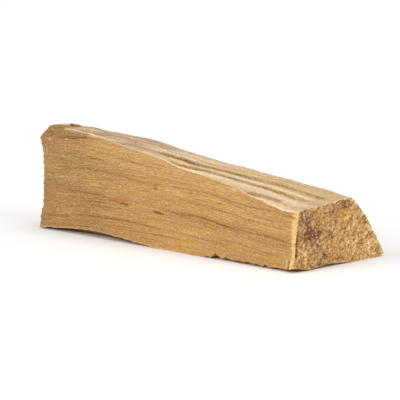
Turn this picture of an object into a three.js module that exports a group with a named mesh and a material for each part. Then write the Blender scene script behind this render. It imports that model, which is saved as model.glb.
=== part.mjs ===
// A palo santo stick: one length of fragrant wood, sawn across at both ends and split along its grain.
//
// Millimetres, +Z up. X runs along the grain, from the thick end to the thin end. The front face looks
// towards -Y, and the stick lies on its widest side, with its bottom at Z = 0. While a section is being
// drawn, depth is counted back from the front face's foot, and the finished solid is centred at the end.

import * as THREE from "three";

const { lerp, smoothstep } = THREE.MathUtils;

// Driving dimensions
const LENGTH = 100; // between the two saw cuts
const BASE_DEPTH_THICK_END = 27.5; // front to back across the bottom
const BASE_DEPTH_THIN_END = 29;
const TOP_DEPTH_THICK_END = 9; // from the front face's foot back to the top's rear corner
const TOP_DEPTH_THIN_END = 18.7;
const TOP_GRAIN_SLANT = 0.16; // how far the top's fibres move back for each millimetre along the stick

const THICK_END = -LENGTH / 2;
const THIN_END = LENGTH / 2;

// How finely each side of the section, and the stick along its length, is divided
const STEPS = { front: 13, edge: 3, top: 24, back: 11 };
const STATIONS = 80;

// Shapes along the stick, each a list of [x, value] that a smooth curve passes through
const FRONT_CORNER_HEIGHT = along([
  [-50, 24.2], [-31, 25.7], [-24, 25.9], [-19, 25.3], [-11, 24.1], [1, 22.4], [6, 21.2], [15, 19.9],
  [22, 18.95], [29, 17.8], [33, 16.35], [37, 15.6], [40, 14.8], [44, 13.85], [47.5, 13.7], [50, 14.2],
]);
const FRONT_CORNER_DEPTH = along([[-50, 1.4], [-35, 1.0], [0, 1.4], [50, 1.8]]);
const FRONT_FOOT_DEPTH = along([[-50, -0.35], [-46, -0.2], [-40, 0]]); // the foot flares out at the thick end
const REAR_CORNER_HEIGHT = along([
  [-50, 26.8], [-43, 26.95], [-38, 26.75], [-33, 26.2], [-27, 25.8], [-17, 25.1], [-4, 23.0], [9, 21.0],
  [20, 19.5], [30, 18.4], [43, 16.5], [50, 15.3],
]);
const FRONT_FOOT_HEIGHT = along([
  [-50, 0.3], [-41, 1.1], [-28, 1.8], [-14, 1.1], [-2, 0.2], [8, 0], [17, 0], [25, 0.7], [38, 0.4], [50, 0.9],
]);
// The old weathered corner at the thick end is a broad slope, which narrows to a thin worn edge
const EDGE_DEPTH = along([[-50, 3.0], [-40, 2.4], [-31, 1.3], [-25, 0.5], [50, 0.4]]);
const EDGE_RISE = along([[-50, 2.4], [-42, 2.1], [-37, 1.65], [-31, 1.0], [-25, 0.2], [50, 0.15]]);
const EDGE_BULGE = along([[-50, 0.4], [-44, 0.25], [-36, 0]]); // how far that slope bulges
// How far the front face is hollowed between its foot and its upper corner (less than zero: it bulges)
const FRONT_HOLLOW = along([[-50, 1.5], [-20, 0.8], [20, 0.3], [50, -0.3]]);
const BACK_BULGE = along([[-50, 0.5], [-15, 0.9], [20, 0.3], [50, 1.0]]);

const FRONT_HOLLOW_SKEW = 1.2; // over 1: the hollow is deepest above the middle
const FRONT_HOLLOW_FLATNESS = 4; // 2 is a round hollow, and more gives a flat bottom between two steeper rims
const BACK_BULGE_SKEW = 0.55; // under 1: the bulge is greatest near the top

// The bottom is flat, and only its two long edges lift off, over these widths
const FRONT_FOOT_WIDTH = 4.5;
const REAR_FOOT_WIDTH = 2.5;
const REAR_FOOT_HEIGHT = 0.5;
const FOOT_BITE = { x: 21.6, halfWidth: 1.9, height: 1.1 };

// A chip stands up on the rear corner at the thick end, rising and falling over these lengths
const CHIP = { from: -50.5, to: -45.5, slope: 1, high: 0.2 };

// Grooves along the top, where strips of fibre tore out: each path is [x, depth back from the front foot]
const TOP_GROOVES = [
  { deep: 0.5, halfWidth: 1.2, runOut: 2.5, path: [[27.5, 1.8], [30, 2.3], [33, 3.0], [37.5, 3.9], [42, 4.8]] },
  {
    deep: 0.55, halfWidth: 1.3,
    path: [[-2, 1.8], [1, 2.2], [4, 2.8], [7, 3.8], [10, 4.5], [19, 5.5], [28, 6.6], [38, 8.4], [48, 10.9]],
  },
  {
    deep: 0.55, halfWidth: 1.3,
    path: [[-8, 4.6], [-4, 5.4], [4, 6.9], [11, 8.1], [22, 9.7], [38, 12.3], [50, 14.0]],
  },
  { deep: 0.3, halfWidth: 0.6, path: [[-22, 1.5], [-14, 2.0], [-8, 3.0], [0, 4.6]] },
  { deep: 0.3, halfWidth: 0.6, path: [[-18, 5.2], [-4, 7.4], [10, 10.9]] },
  { deep: 0.25, halfWidth: 0.8, path: [[2, 10.0], [20, 12.9], [40, 16.2]] },
  { deep: 0.4, halfWidth: 2.2, path: [[-37, 4.6], [-20, 5.6], [-2, 8.8]] },
];
// A groove is gentle towards the front and steep behind: how wide each side is, in half widths
const GROOVE_GENTLE_SIDE = 1.5;
const GROOVE_STEEP_SIDE = 0.35;
// A strip along the top's front edge lies lower than the rest, where the outermost fibres tore out
const TOP_STEP = along([[29, 0], [33, 0.6], [38, 0.35], [46, 0]]);
const TOP_STEP_WIDTH = 2.5;
const TOP_WAVE = { deep: 0.16, across: 1.7, along: 26 };
const TOP_RIM = 0.06; // share of the top's width over which its relief dies away at each edge

// Where the pale split starts: the old surface on the thick-end side of this slanting step is higher
const SPLIT_START = { x: -42.2, depth: 5.0, slant: -0.2, step: 0.3, width: 1.6 };
const SPLIT_NOTCH = { x: -43.2, depth: 7.7, halfLong: 2.9, halfWide: 1.7, deep: 0.55 };

// Ledges along the two long sides, small steps outwards below a path of [x, share of the side's height]
const FRONT_LEDGES = [
  { step: 0.3, path: [[-60, 0.93], [-38, 0.92], [-25, 0.95]] },
  { step: 0.22, path: [[-60, 0.2], [-28, 0.24], [0, 0.26], [26, 0.32]] },
  { step: 0.2, path: [[0, 0.62], [30, 0.7], [60, 0.82]] },
];
const BACK_LEDGES = [
  { step: 1.0, path: [[-60, 0.72], [-10, 0.62], [36, 0.74]] },
  { step: 0.8, sharpness: 0.2, path: [[-26, 0.3], [8, 0.36], [36, 0.42], [50, 0.45]] },
];
const LEDGE_SHARPNESS = 0.09; // share of the side's height over which a ledge steps, unless it names its own
const LEDGE_FOOT = 0.15; // share of the side's height over which a ledge dies away at the foot
const FRONT_WAVE = { deep: 0.14, across: 3.2, along: 30 };
const BACK_WAVE = { deep: 0.42, across: 3.4, along: 24 };

// A groove or ledge runs out over this length at each end of its path, unless it names its own
const RUN_OUT = 6;
for (const line of [...TOP_GROOVES, ...FRONT_LEDGES, ...BACK_LEDGES]) line.at = along(line.path);

// The saw tore a small splinter loose at the foot of the thin end. Its edge leans towards that end.
const SPLINTER = { from: 46.5, slant: 0.33, top: 3.2, proud: 0.4 };

const WOOD = { colour: 0xc39a63, roughness: 0.82 };

// A smooth curve through [x, value] points, flat beyond its ends
function along(points) {
  const slope = (a, b) => (b[1] - a[1]) / (b[0] - a[0]);
  const last = points.length - 1;
  const tangents = points.map((_, i) => slope(points[Math.max(i - 1, 0)], points[Math.min(i + 1, last)]));
  return (x) => {
    if (x <= points[0][0]) return points[0][1];
    if (x >= points[last][0]) return points[last][1];
    const i = points.findLastIndex((p) => p[0] <= x);
    const span = points[i + 1][0] - points[i][0];
    const t = (x - points[i][0]) / span;
    const startShare = (1 + 2 * t) * (1 - t) ** 2;
    const endShare = 1 - startShare;
    const startPull = t * (1 - t) ** 2 * tangents[i] * span;
    const endPull = t ** 2 * (t - 1) * tangents[i + 1] * span;
    return startShare * points[i][1] + endShare * points[i + 1][1] + startPull + endPull;
  };
}

// A repeatable random value from -1 to 1 for each pair of whole numbers
function scatter(i, j) {
  const s = Math.sin(i * 127.1 + j * 311.7) * 43758.5453;
  return 2 * (s - Math.floor(s)) - 1;
}

// Smooth random waves, long along the grain and short across it, that rise and sink by up to wave.deep
function grainWave(wave, x, across) {
  const u = x / wave.along;
  const v = across / wave.across;
  const i = Math.floor(u);
  const j = Math.floor(v);
  const fu = smoothstep(u - i, 0, 1);
  const fv = smoothstep(v - j, 0, 1);
  const near = lerp(scatter(i, j), scatter(i + 1, j), fu);
  const far = lerp(scatter(i, j + 1), scatter(i + 1, j + 1), fu);
  return wave.deep * lerp(near, far, fv);
}

// 1 along a groove's or ledge's path, running out to 0 at both of its ends
function present(line, x) {
  const start = line.path[0][0];
  const end = line.path.at(-1)[0];
  const runOut = Math.min(line.runOut ?? RUN_OUT, (end - start) / 2);
  return smoothstep(x, start, start + runOut) * (1 - smoothstep(x, end - runOut, end));
}

// How strongly the chip on the rear corner shows at x, from 0 to 1
function chipShare(x) {
  return smoothstep(x, CHIP.from, CHIP.from + CHIP.slope) * (1 - smoothstep(x, CHIP.to - CHIP.slope, CHIP.to));
}

// The four long corners of the section at x, as [depth, height]
function cornersAt(x) {
  const bite = FOOT_BITE.height * Math.max(0, 1 - Math.abs(x - FOOT_BITE.x) / FOOT_BITE.halfWidth);
  const share = (x - THICK_END) / LENGTH;
  return {
    frontFoot: [FRONT_FOOT_DEPTH(x), Math.max(FRONT_FOOT_HEIGHT(x), 0) + bite],
    frontTop: [FRONT_CORNER_DEPTH(x), FRONT_CORNER_HEIGHT(x)],
    rearTop: [
      lerp(TOP_DEPTH_THICK_END, TOP_DEPTH_THIN_END, share),
      REAR_CORNER_HEIGHT(x) + CHIP.high * chipShare(x),
    ],
    rearFoot: [lerp(BASE_DEPTH_THICK_END, BASE_DEPTH_THIN_END, share), REAR_FOOT_HEIGHT],
  };
}

// How far the ledges push a side out, at a share of its height
function ledgeSteps(ledges, x, share) {
  let out = 0;
  for (const ledge of ledges) {
    const top = ledge.at(x);
    const below = 1 - smoothstep(share, top - (ledge.sharpness ?? LEDGE_SHARPNESS), top);
    out += ledge.step * below * smoothstep(share, 0, LEDGE_FOOT) * present(ledge, x);
  }
  return out;
}

// The front face, from its foot (t = 0) to its upper corner (t = 1)
function frontPoint(x, t) {
  const { frontFoot, frontTop } = cornersAt(x);
  const height = lerp(frontFoot[1], frontTop[1], t);
  const fromMiddle = Math.abs(2 * t ** FRONT_HOLLOW_SKEW - 1);
  const hollow = FRONT_HOLLOW(x) * (1 - fromMiddle ** FRONT_HOLLOW_FLATNESS);
  const insideEdges = Math.sin(Math.PI * t);
  const relief = grainWave(FRONT_WAVE, x, height) * insideEdges - ledgeSteps(FRONT_LEDGES, x, t);
  const isTorn = x > SPLINTER.from + SPLINTER.slant * height && height < SPLINTER.top;
  const torn = isTorn ? SPLINTER.proud : 0;
  return [lerp(frontFoot[0], frontTop[0], t) + hollow + relief - torn, height];
}

// Where the worn upper front edge ends and the split top starts
function edgeTop(x) {
  const { frontTop } = cornersAt(x);
  return [frontTop[0] + EDGE_DEPTH(x), frontTop[1] + EDGE_RISE(x)];
}

// The worn upper front edge, from the front face's corner (t = 0) to the start of the top (t = 1). It bulges
// at right angles to its own slope.
function edgePoint(x, t) {
  const { frontTop } = cornersAt(x);
  const end = edgeTop(x);
  const out = EDGE_BULGE(x) * Math.sin(Math.PI * t);
  const [run, rise] = [EDGE_DEPTH(x), EDGE_RISE(x)];
  const slope = Math.hypot(run, rise);
  return [
    lerp(frontTop[0], end[0], t) - (out * rise) / slope,
    lerp(frontTop[1], end[1], t) + (out * run) / slope,
  ];
}

// 0 outside a groove and 1 at its bottom
function grooveShare(groove, x, depth) {
  const off = (depth - groove.at(x)) / groove.halfWidth;
  const side = off > 0 ? off / GROOVE_STEEP_SIDE : -off / GROOVE_GENTLE_SIDE;
  return Math.max(0, 1 - side) * present(groove, x);
}

// How far the split top lies under its straight line from corner to corner
function topDrop(x, depth) {
  let drop = grainWave(TOP_WAVE, x, depth - TOP_GRAIN_SLANT * x);
  for (const groove of TOP_GROOVES) drop += groove.deep * grooveShare(groove, x, depth);
  const pastStart = x - SPLIT_START.x - SPLIT_START.slant * (depth - SPLIT_START.depth);
  drop -= SPLIT_START.step * (1 - smoothstep(pastStart, -SPLIT_START.width / 2, SPLIT_START.width / 2));
  const notchX = (x - SPLIT_NOTCH.x) / SPLIT_NOTCH.halfLong;
  const notchDepth = (depth - SPLIT_NOTCH.depth) / SPLIT_NOTCH.halfWide;
  return drop + SPLIT_NOTCH.deep * Math.max(0, 1 - notchX ** 2 - notchDepth ** 2);
}

// The split top, from the worn edge (t = 0) to the rear corner (t = 1)
function topPoint(x, t) {
  const start = edgeTop(x);
  const { rearTop } = cornersAt(x);
  const depth = lerp(start[0], rearTop[0], t);
  const insideEdges = smoothstep(t, 0, TOP_RIM) * (1 - smoothstep(t, 1 - TOP_RIM, 1));
  const step = TOP_STEP(x);
  const lowered = step * (1 - smoothstep(depth - start[0], 0, TOP_STEP_WIDTH));
  return [depth, lerp(start[1] + step, rearTop[1], t) - lowered - topDrop(x, depth) * insideEdges];
}

// The back face, from the rear corner (t = 0) down to its foot (t = 1)
function backPoint(x, t) {
  const { rearTop, rearFoot } = cornersAt(x);
  const height = lerp(rearTop[1], rearFoot[1], t);
  const bulge = BACK_BULGE(x) * Math.sin(Math.PI * t ** BACK_BULGE_SKEW);
  const insideEdges = Math.sin(Math.PI * t);
  const relief = (grainWave(BACK_WAVE, x, height) + ledgeSteps(BACK_LEDGES, x, 1 - t)) * insideEdges;
  return [lerp(rearTop[0], rearFoot[0], t) + bulge + relief, height];
}

// The bottom, from the rear foot to the front foot: flat between two narrow lifted edges
function bottomPoints(x) {
  const { rearFoot, frontFoot } = cornersAt(x);
  const width = rearFoot[0] - frontFoot[0];
  const flatFrom = REAR_FOOT_WIDTH;
  const flatTo = width - FRONT_FOOT_WIDTH;
  const marks = [0, flatFrom / 2, flatFrom, (flatFrom + flatTo) / 2, flatTo, (flatTo + width) / 2];
  return marks.map((fromRear) => {
    const rearLift = rearFoot[1] * (1 - smoothstep(fromRear, 0, flatFrom));
    const frontLift = frontFoot[1] * smoothstep(fromRear, flatTo, width);
    return [rearFoot[0] - fromRear, rearLift + frontLift];
  });
}

// One closed outline across the stick: up the front, back over the top, down the back and along the bottom
function sectionAt(x) {
  const side = (steps, pointAt) => Array.from({ length: steps }, (_, i) => pointAt(x, i / steps));
  return [
    ...side(STEPS.front, frontPoint),
    ...side(STEPS.edge, edgePoint),
    ...side(STEPS.top, topPoint),
    ...side(STEPS.back, backPoint),
    ...bottomPoints(x),
  ];
}

// The solid: sections joined into a skin, with each saw cut closed by a flat fan of triangles
function stickGeometry() {
  const positions = [];
  const faces = [];
  const around = sectionAt(THICK_END).length;
  for (let i = 0; i <= STATIONS; i++) {
    const x = lerp(THICK_END, THIN_END, i / STATIONS);
    for (const [depth, height] of sectionAt(x)) positions.push(x, depth, height);
  }
  for (let i = 0; i < STATIONS; i++) {
    for (let j = 0; j < around; j++) {
      const next = (j + 1) % around;
      const [a, b, c, d] = [i * around + j, (i + 1) * around + j, (i + 1) * around + next, i * around + next];
      faces.push(a, b, c, a, c, d);
    }
  }
  for (const [station, x] of [[0, THICK_END], [STATIONS, THIN_END]]) {
    const middle = positions.length / 3;
    const { rearTop, rearFoot } = cornersAt(x);
    positions.push(x, rearFoot[0] / 2, rearTop[1] / 2);
    for (let j = 0; j < around; j++) {
      const here = station * around + j;
      const next = station * around + ((j + 1) % around);
      if (station === 0) faces.push(middle, here, next);
      else faces.push(middle, next, here);
    }
  }
  const geometry = new THREE.BufferGeometry();
  geometry.setAttribute("position", new THREE.Float32BufferAttribute(positions, 3));
  geometry.setIndex(faces);
  return geometry;
}

// Puts the middle of the solid's box over the origin, and its lowest point on Z = 0
function centre(geometry) {
  geometry.computeBoundingBox();
  const { min, max } = geometry.boundingBox;
  geometry.translate(-(min.x + max.x) / 2, -(min.y + max.y) / 2, -min.z);
  geometry.computeVertexNormals();
  return geometry;
}

const wood = new THREE.MeshStandardMaterial({
  color: WOOD.colour,
  roughness: WOOD.roughness,
  metalness: 0,
  flatShading: true,
});
const stick = new THREE.Mesh(centre(stickGeometry()), wood);
stick.name = "palo_santo_stick";

const part = new THREE.Group();
part.add(stick);

export default part;
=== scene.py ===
# %% [markdown]
# # A stick of fragrant wood, split along its grain and sawn at both ends
#
# The real thing is one piece of wood about ten centimetres long. Its front face is golden and slightly
# hollow, its top was split open and shows pale torn fibres, and its thick end still carries a patch of
# old weathered surface. The two sawn ends are rough with cut fibres.
#
# The CAD model already has the right size and the main forms. This lesson gives it the fine relief and
# the colours: it builds one dense skin over the same shape, and paints that skin with a procedural
# material that follows the grain.

import math

import bpy
import numpy as np
from mathutils import Matrix, Vector


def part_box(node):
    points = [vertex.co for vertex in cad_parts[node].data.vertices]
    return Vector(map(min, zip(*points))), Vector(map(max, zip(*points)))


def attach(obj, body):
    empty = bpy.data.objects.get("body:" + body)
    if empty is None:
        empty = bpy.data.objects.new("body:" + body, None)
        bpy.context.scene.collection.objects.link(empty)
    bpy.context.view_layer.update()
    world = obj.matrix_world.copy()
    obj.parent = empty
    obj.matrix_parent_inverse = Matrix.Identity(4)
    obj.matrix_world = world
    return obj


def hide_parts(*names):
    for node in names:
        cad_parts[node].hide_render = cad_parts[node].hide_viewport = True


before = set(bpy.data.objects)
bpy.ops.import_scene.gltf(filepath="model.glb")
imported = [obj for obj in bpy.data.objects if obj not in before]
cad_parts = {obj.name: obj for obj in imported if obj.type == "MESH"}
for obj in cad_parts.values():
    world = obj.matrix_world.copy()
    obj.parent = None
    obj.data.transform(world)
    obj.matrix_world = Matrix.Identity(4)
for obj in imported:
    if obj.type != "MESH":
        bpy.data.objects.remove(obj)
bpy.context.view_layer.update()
low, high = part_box("palo_santo_stick")
print("CAD box, mm:", [round(v * 1000, 2) for v in (*low, *high)])

# %% [markdown]
# ## Measuring along the stick
#
# Everything below is worked out in millimetres, as the CAD model is, and turned into Blender's metres at
# the very end. X runs along the grain, from the thick end to the thin end. Depth is counted back from
# the foot of the front face, and height up from the surface that the stick lies on.
#
# The shapes could be sculpted by hand, but a handful of numbers is easier to read and to change. Each
# list gives a value at a few places along the stick, and `along` draws a smooth curve through them.

# %% Curves, blends and the stick's own directions
MM = 0.001
THICK_END = low.x / MM
THIN_END = high.x / MM
LENGTH = THIN_END - THICK_END


def lerp(a, b, share):
    """The value that lies this share of the way from a to b."""
    return a + (b - a) * share


def ease(value, start, end):
    """0 before start, 1 after end, and an S-shaped rise in between."""
    share = np.clip((value - start) / (end - start), 0, 1)
    return share * share * (3 - 2 * share)


def along(points):
    """A smooth curve through [x, value] points, flat beyond its ends. It works on whole arrays."""
    places = np.array([p[0] for p in points], float)
    values = np.array([p[1] for p in points], float)
    number = np.arange(len(points))
    before = np.maximum(number - 1, 0)
    after = np.minimum(number + 1, number[-1])
    slopes = (values[after] - values[before]) / (places[after] - places[before])

    def curve(x):
        x = np.clip(x, places[0], places[-1])
        i = np.clip(np.searchsorted(places, x, side="right") - 1, 0, number[-1] - 1)
        span = places[i + 1] - places[i]
        share = (x - places[i]) / span
        start_share = (1 + 2 * share) * (1 - share) ** 2
        start_pull = share * (1 - share) ** 2 * slopes[i] * span
        end_pull = share**2 * (share - 1) * slopes[i + 1] * span
        return start_share * values[i] + (1 - start_share) * values[i + 1] + start_pull + end_pull

    return curve


print(f"stick: {LENGTH:.1f} mm long, {(high.y - low.y) / MM:.1f} deep, {(high.z - low.z) / MM:.1f} high")

# %% [markdown]
# ## Random waves that follow the grain
#
# Wood tears and wears in long narrow waves: a fibre can be followed for centimetres, but its neighbour
# is only a fraction of a millimetre away. A plain noise would look like clay. So the noise here is
# stretched: each wave says how deep it is, how wide across the grain and how long along it. A shift
# moves a wave to another place in the noise, so that two of them never rise and sink together.
#
# The random numbers come from a formula, so the stick is the same every time the script runs.

# %% Grain waves
SCRAMBLE = (127.1, 311.7, 43758.5453)  # uneven numbers, whose only use is that their products look random


def scatter(i, j):
    """A repeatable random value from -1 to 1 for each pair of whole numbers."""
    s = np.sin(i * SCRAMBLE[0] + j * SCRAMBLE[1]) * SCRAMBLE[2]
    return 2 * (s - np.floor(s)) - 1


def ripple(deep, wide, long, shift=0):
    """A wave's size: how deep it is, how wide across the grain and how long along it."""
    return {"deep": deep, "wide": wide, "long": long, "shift": shift}


def grain_wave(wave, x, across):
    """Smooth random waves that rise and sink by up to the ripple's depth."""
    u = x / wave["long"] + wave["shift"]
    v = across / wave["wide"] + wave["shift"]
    i = np.floor(u)
    j = np.floor(v)
    share_u = ease(u - i, 0, 1)
    share_v = ease(v - j, 0, 1)
    near = lerp(scatter(i, j), scatter(i + 1, j), share_u)
    far = lerp(scatter(i, j + 1), scatter(i + 1, j + 1), share_u)
    return wave["deep"] * lerp(near, far, share_v)


def fibres(waves, x, across):
    """Several waves laid over one another."""
    return sum(grain_wave(wave, x, across) for wave in waves)


sample = grain_wave(ripple(1, 1, 10), np.arange(0, 40, 10), 0)
print("one wave at every 10 mm along the grain:", np.round(sample, 2))

# %% [markdown]
# ## The four long corners
#
# The section is a leaning four-sided shape whose corners wander as the stick runs along. The CAD mesh
# could be cut up finely instead, but its faces are uneven, and the finest fibres need a regular skin. So
# the corners are told again as curves, and the skin is laid between them. The curves follow the CAD
# model's own to within half a millimetre, so it lies on the same form. Real corners are never as clean
# as a curve: each also gets a small ragged wave, and the foot of the front face gets the bites where
# fibres broke away.

# %% Corner curves
BASE_DEPTH = (27.5, 29.0)  # front to back across the bottom, at the thick and the thin end
TOP_DEPTH = (9.0, 18.7)  # from the front foot back to the top's rear corner, at the two ends
REAR_FOOT_HEIGHT = 0.5

FRONT_CORNER_HEIGHT = along([
    [-50, 24.2], [-31, 25.7], [-24, 25.9], [-19, 25.3], [-11, 24.1], [1, 22.4], [6, 21.2], [15, 19.9],
    [22, 18.95], [27, 17.9], [29, 17.4], [31.5, 16.6], [33.5, 16.1], [37, 15.55], [40, 14.8], [44, 13.85],
    [47.5, 13.7], [50, 14.2],
])
FRONT_CORNER_DEPTH = along([[-50, 1.1], [-46, 1.1], [-35, 1.0], [0, 1.4], [50, 1.8]])
FRONT_FOOT_DEPTH = along([[-50, -0.35], [-46, -0.2], [-40, 0]])  # the foot flares out at the thick end
REAR_CORNER_HEIGHT = along([
    [-50, 26.8], [-43, 26.95], [-38, 26.75], [-33, 26.2], [-27, 25.8], [-17, 25.1], [-4, 23.0], [9, 21.0],
    [20, 19.5], [30, 18.4], [43, 16.5], [50, 15.3],
])
FRONT_FOOT_HEIGHT = along([
    [-50, 0.3], [-41, 1.1], [-28, 1.8], [-14, 1.1], [-2, 0.2], [8, 0], [17, 0], [25, 0.7], [38, 0.4],
    [50, 0.9],
])

# The ragged waves. A corner's depth reads them in another row than its height, so the two differ.
ARRIS_FRAY = [ripple(0.10, 1, 4.7, 3), ripple(0.05, 1, 1.1)]
FOOT_FRAY = [ripple(0.16, 1, 3.1, 9), ripple(0.12, 1, 0.9)]
REAR_FRAY = [ripple(0.14, 1, 5.3, 5), ripple(0.06, 1, 1.3)]
ARRIS_DEPTH_ROW = 7
REAR_DEPTH_ROW = 4

# Bites out of the front foot, each as place, half its width and height
FOOT_BITES = [
    (21.6, 1.9, 1.1), (18.6, 0.8, 0.4), (25.4, 0.8, 0.4), (33.0, 1.1, 0.35), (36.4, 0.6, 0.3),
    (39.6, 0.7, 0.75),
]
print(len(FOOT_BITES), "bites out of the front foot")

# %% The broken lip and the chip
# The sawn edge of the front face at the thin end broke off in a narrow slope, wider at the top. It turns
# pale between these two distances from the saw cut, in widths of the slope.
LIP = {"cut": 0.2, "wide_at_foot": 0.7, "wide_at_top": 1.7, "pale_from": 1.7, "pale_to": 0.6}

# A pale chip stands up on the rear corner near the thick end, beside the notch. It rises over its slope at
# both ends, and its pale side reaches down the back, fading out between the two last distances.
CHIP = {"from": -50.5, "to": -45.5, "slope": 1.0, "high": 0.2, "down_the_back": (1.8, 0.8)}


def lip_width(t):
    """How wide the broken slope is at a share of the front face's height."""
    return lerp(LIP["wide_at_foot"], LIP["wide_at_top"], t)


def lip_share(x, t):
    """How far down the broken slope a point is: 0 on the front face, 1 at the saw cut."""
    return np.clip((x - THIN_END + lip_width(t)) / lip_width(t), 0, 1)


def lip_paleness(x, t):
    """How pale the broken slope is: the paleness starts a little before the slope does."""
    return ease(x, THIN_END - LIP["pale_from"] * lip_width(t), THIN_END - LIP["pale_to"] * lip_width(t))


def chip_share(x):
    """How strongly the chip on the rear corner shows at x, from 0 to 1."""
    rising = ease(x, CHIP["from"], CHIP["from"] + CHIP["slope"])
    return rising * ease(x, CHIP["to"], CHIP["to"] - CHIP["slope"])


print("the lip is", lip_width(0), "mm wide at its foot, and", lip_width(1), "at its top")

# %% The four corners together
def corners_at(x):
    """The four long corners of the section at x, each as (depth, height)."""
    share = (x - THICK_END) / LENGTH
    foot = FRONT_FOOT_HEIGHT(x) + fibres(FOOT_FRAY, x, 0)
    bite = sum(tall * np.maximum(0, 1 - np.abs(x - place) / half) for place, half, tall in FOOT_BITES)
    top_depth = FRONT_CORNER_DEPTH(x) + fibres(ARRIS_FRAY, x, ARRIS_DEPTH_ROW)
    top_depth = top_depth + LIP["cut"] * lip_share(x, 1)
    rear_height = REAR_CORNER_HEIGHT(x) + fibres(REAR_FRAY, x, 0) + CHIP["high"] * chip_share(x)
    return {
        "front_foot": (FRONT_FOOT_DEPTH(x) + LIP["cut"] * lip_share(x, 0), np.maximum(foot, 0) + bite),
        "front_top": (top_depth, FRONT_CORNER_HEIGHT(x) + fibres(ARRIS_FRAY, x, 0)),
        "rear_top": (lerp(*TOP_DEPTH, share) + fibres(REAR_FRAY, x, REAR_DEPTH_ROW), rear_height),
        "rear_foot": (lerp(*BASE_DEPTH, share), REAR_FOOT_HEIGHT + 0 * x),
    }


for place in (THICK_END, 0.0, THIN_END):
    corners = {name: [round(float(v), 1) for v in corner] for name, corner in corners_at(place).items()}
    print("corners at", round(place), "mm:", corners)

# %% [markdown]
# ## The front face
#
# This face was cleft and then rubbed smooth by handling, so its relief is low. It is hollow near the top
# at the thick end, and a few narrow ledges run along it, where one layer of fibres ends and the next one
# carries on. A short crack, a few brown streaks and some dark flecks lie where the photograph shows them.
#
# Each of these could be modelled or drawn by hand. But they all follow the grain, so ledges, streaks and
# grooves are told in the same way: a path along the stick, a width, and a depth or a strength. Each runs
# out gently at both of its ends, and a line that lies wrong is moved by changing one number.

# %% Paths along the grain
RUN_OUT = 6.0  # a groove, ledge or streak runs out over this length at each end
LEDGE_SHARPNESS = 0.05  # a ledge breaks off within this share of its side's height


def grain_line(path, run_out=RUN_OUT, **details):
    """A line that follows the grain: its path, the smooth curve through it, and whatever else it has."""
    return {"path": path, "at": along(path), "run_out": run_out, **details}


def streak(half_width, strength, path, run_out=RUN_OUT):
    """A line of colour or of depth that fades to both sides."""
    return grain_line(path, run_out, half_width=half_width, strength=strength)


def ledge(step, path, sharpness=LEDGE_SHARPNESS):
    """A step in one of the long sides. Its path gives shares of that side's height."""
    return grain_line(path, step=step, sharpness=sharpness)


def present(line, x):
    """1 along a line's path, running out to 0 at both of its ends."""
    start = line["path"][0][0]
    end = line["path"][-1][0]
    run_out = min(line["run_out"], (end - start) / 2)
    return ease(x, start, start + run_out) * (1 - ease(x, end - run_out, end))


sample = grain_line([[0, 0], [20, 0]])
print("how a line 20 mm long runs out, at every 5 mm:", present(sample, np.arange(0, 21, 5)).round(2))

# %% Streaks and ledges on a side
LEDGE_FOOT = 0.15  # a ledge has run out below this share of its side's height


def streaks_at(lines, x, across):
    """How strongly some streaks show: each at its full strength on its path, fading to both sides."""
    total = 0
    for line in lines:
        off = (across - line["at"](x)) / line["half_width"]
        total = total + line["strength"] * np.exp(-off * off) * present(line, x)
    return total


def ledge_steps(ledges, x, share):
    """How far the ledges push a side out, at a share of its height."""
    out = 0
    for line in ledges:
        top = line["at"](x)
        below = 1 - ease(share, top - line["sharpness"], top)
        out = out + line["step"] * below * ease(share, 0, LEDGE_FOOT) * present(line, x)
    return out


def away_from_rims(t, rim):
    """1 over most of a side, and 0 at its two long rims, where it must meet the sides beside it."""
    return ease(t, 0, rim) * (1 - ease(t, 1 - rim, 1))


sample = ledge_steps([ledge(0.3, [[-60, 0.6], [60, 0.6]])], 0.0, np.array([0, 0.3, 0.5, 0.7]))
print("how far a ledge of 0.3 mm stands out:", sample.round(2))

# %% Hollow, ledges and crack of the front face
FRONT_HOLLOW = along([[-50, 1.5], [-20, 0.8], [20, 0.3], [50, -0.3]])
FRONT_HOLLOW_SKEW = 1.2  # over 1: the hollow is deepest above the middle
FRONT_HOLLOW_FLATNESS = 4  # 2 is a round hollow, and more gives a flat bottom between two steeper rims
FRONT_GRAIN_RISE = along([[-50, 0], [-28, 1.8], [-4, 2.4], [12, 2.2], [31, 0.5], [50, -0.4]])
FRONT_GRAIN_SPREAD = 0.0016  # the grain closes up towards the thin end, this much for each millimetre
FRONT_RIM = 0.03
FRONT_LEDGES = [
    ledge(0.35, [[-60, 0.99], [-44, 0.98], [-38, 0.93], [-25, 0.95]]),
    ledge(0.22, [[-60, 0.2], [-28, 0.24], [0, 0.26], [26, 0.32]]),
    ledge(0.2, [[0, 0.62], [30, 0.7], [60, 0.82]]),
]
FRONT_WAVE = ripple(0.14, 3.2, 30)
FRONT_FIBRES = [
    ripple(0.055, 0.85, 11, 2),
    ripple(0.035, 0.38, 4.5, 6),
]
CRACK_PATH = [[-3.6, 9.1], [-1.1, 8.8], [1.6, 8.5]]
CRACK = streak(0.26, 0.4, CRACK_PATH, run_out=1.2)
print("the front face is hollow by", FRONT_HOLLOW(THICK_END), "mm at the thick end")

# %% The splinter block
# A splinter block hangs loose at the foot of the thin end. Its edge slants, and so does the crack in it.
SPLINTER = {"from": 46.5, "slant": 0.33, "top": 3.2, "proud": 0.4, "edge": 0.1, "top_edge": 0.3}
SPLINTER_CRACK = {"from_edge": 1.0, "half_width": 0.42, "top": 3.2, "run_out": 0.5, "deep": 0.7}


def from_splinter_edge(x, height):
    """How far a point lies beyond the splinter block's slanting edge."""
    return x - SPLINTER["from"] - SPLINTER["slant"] * height


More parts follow.
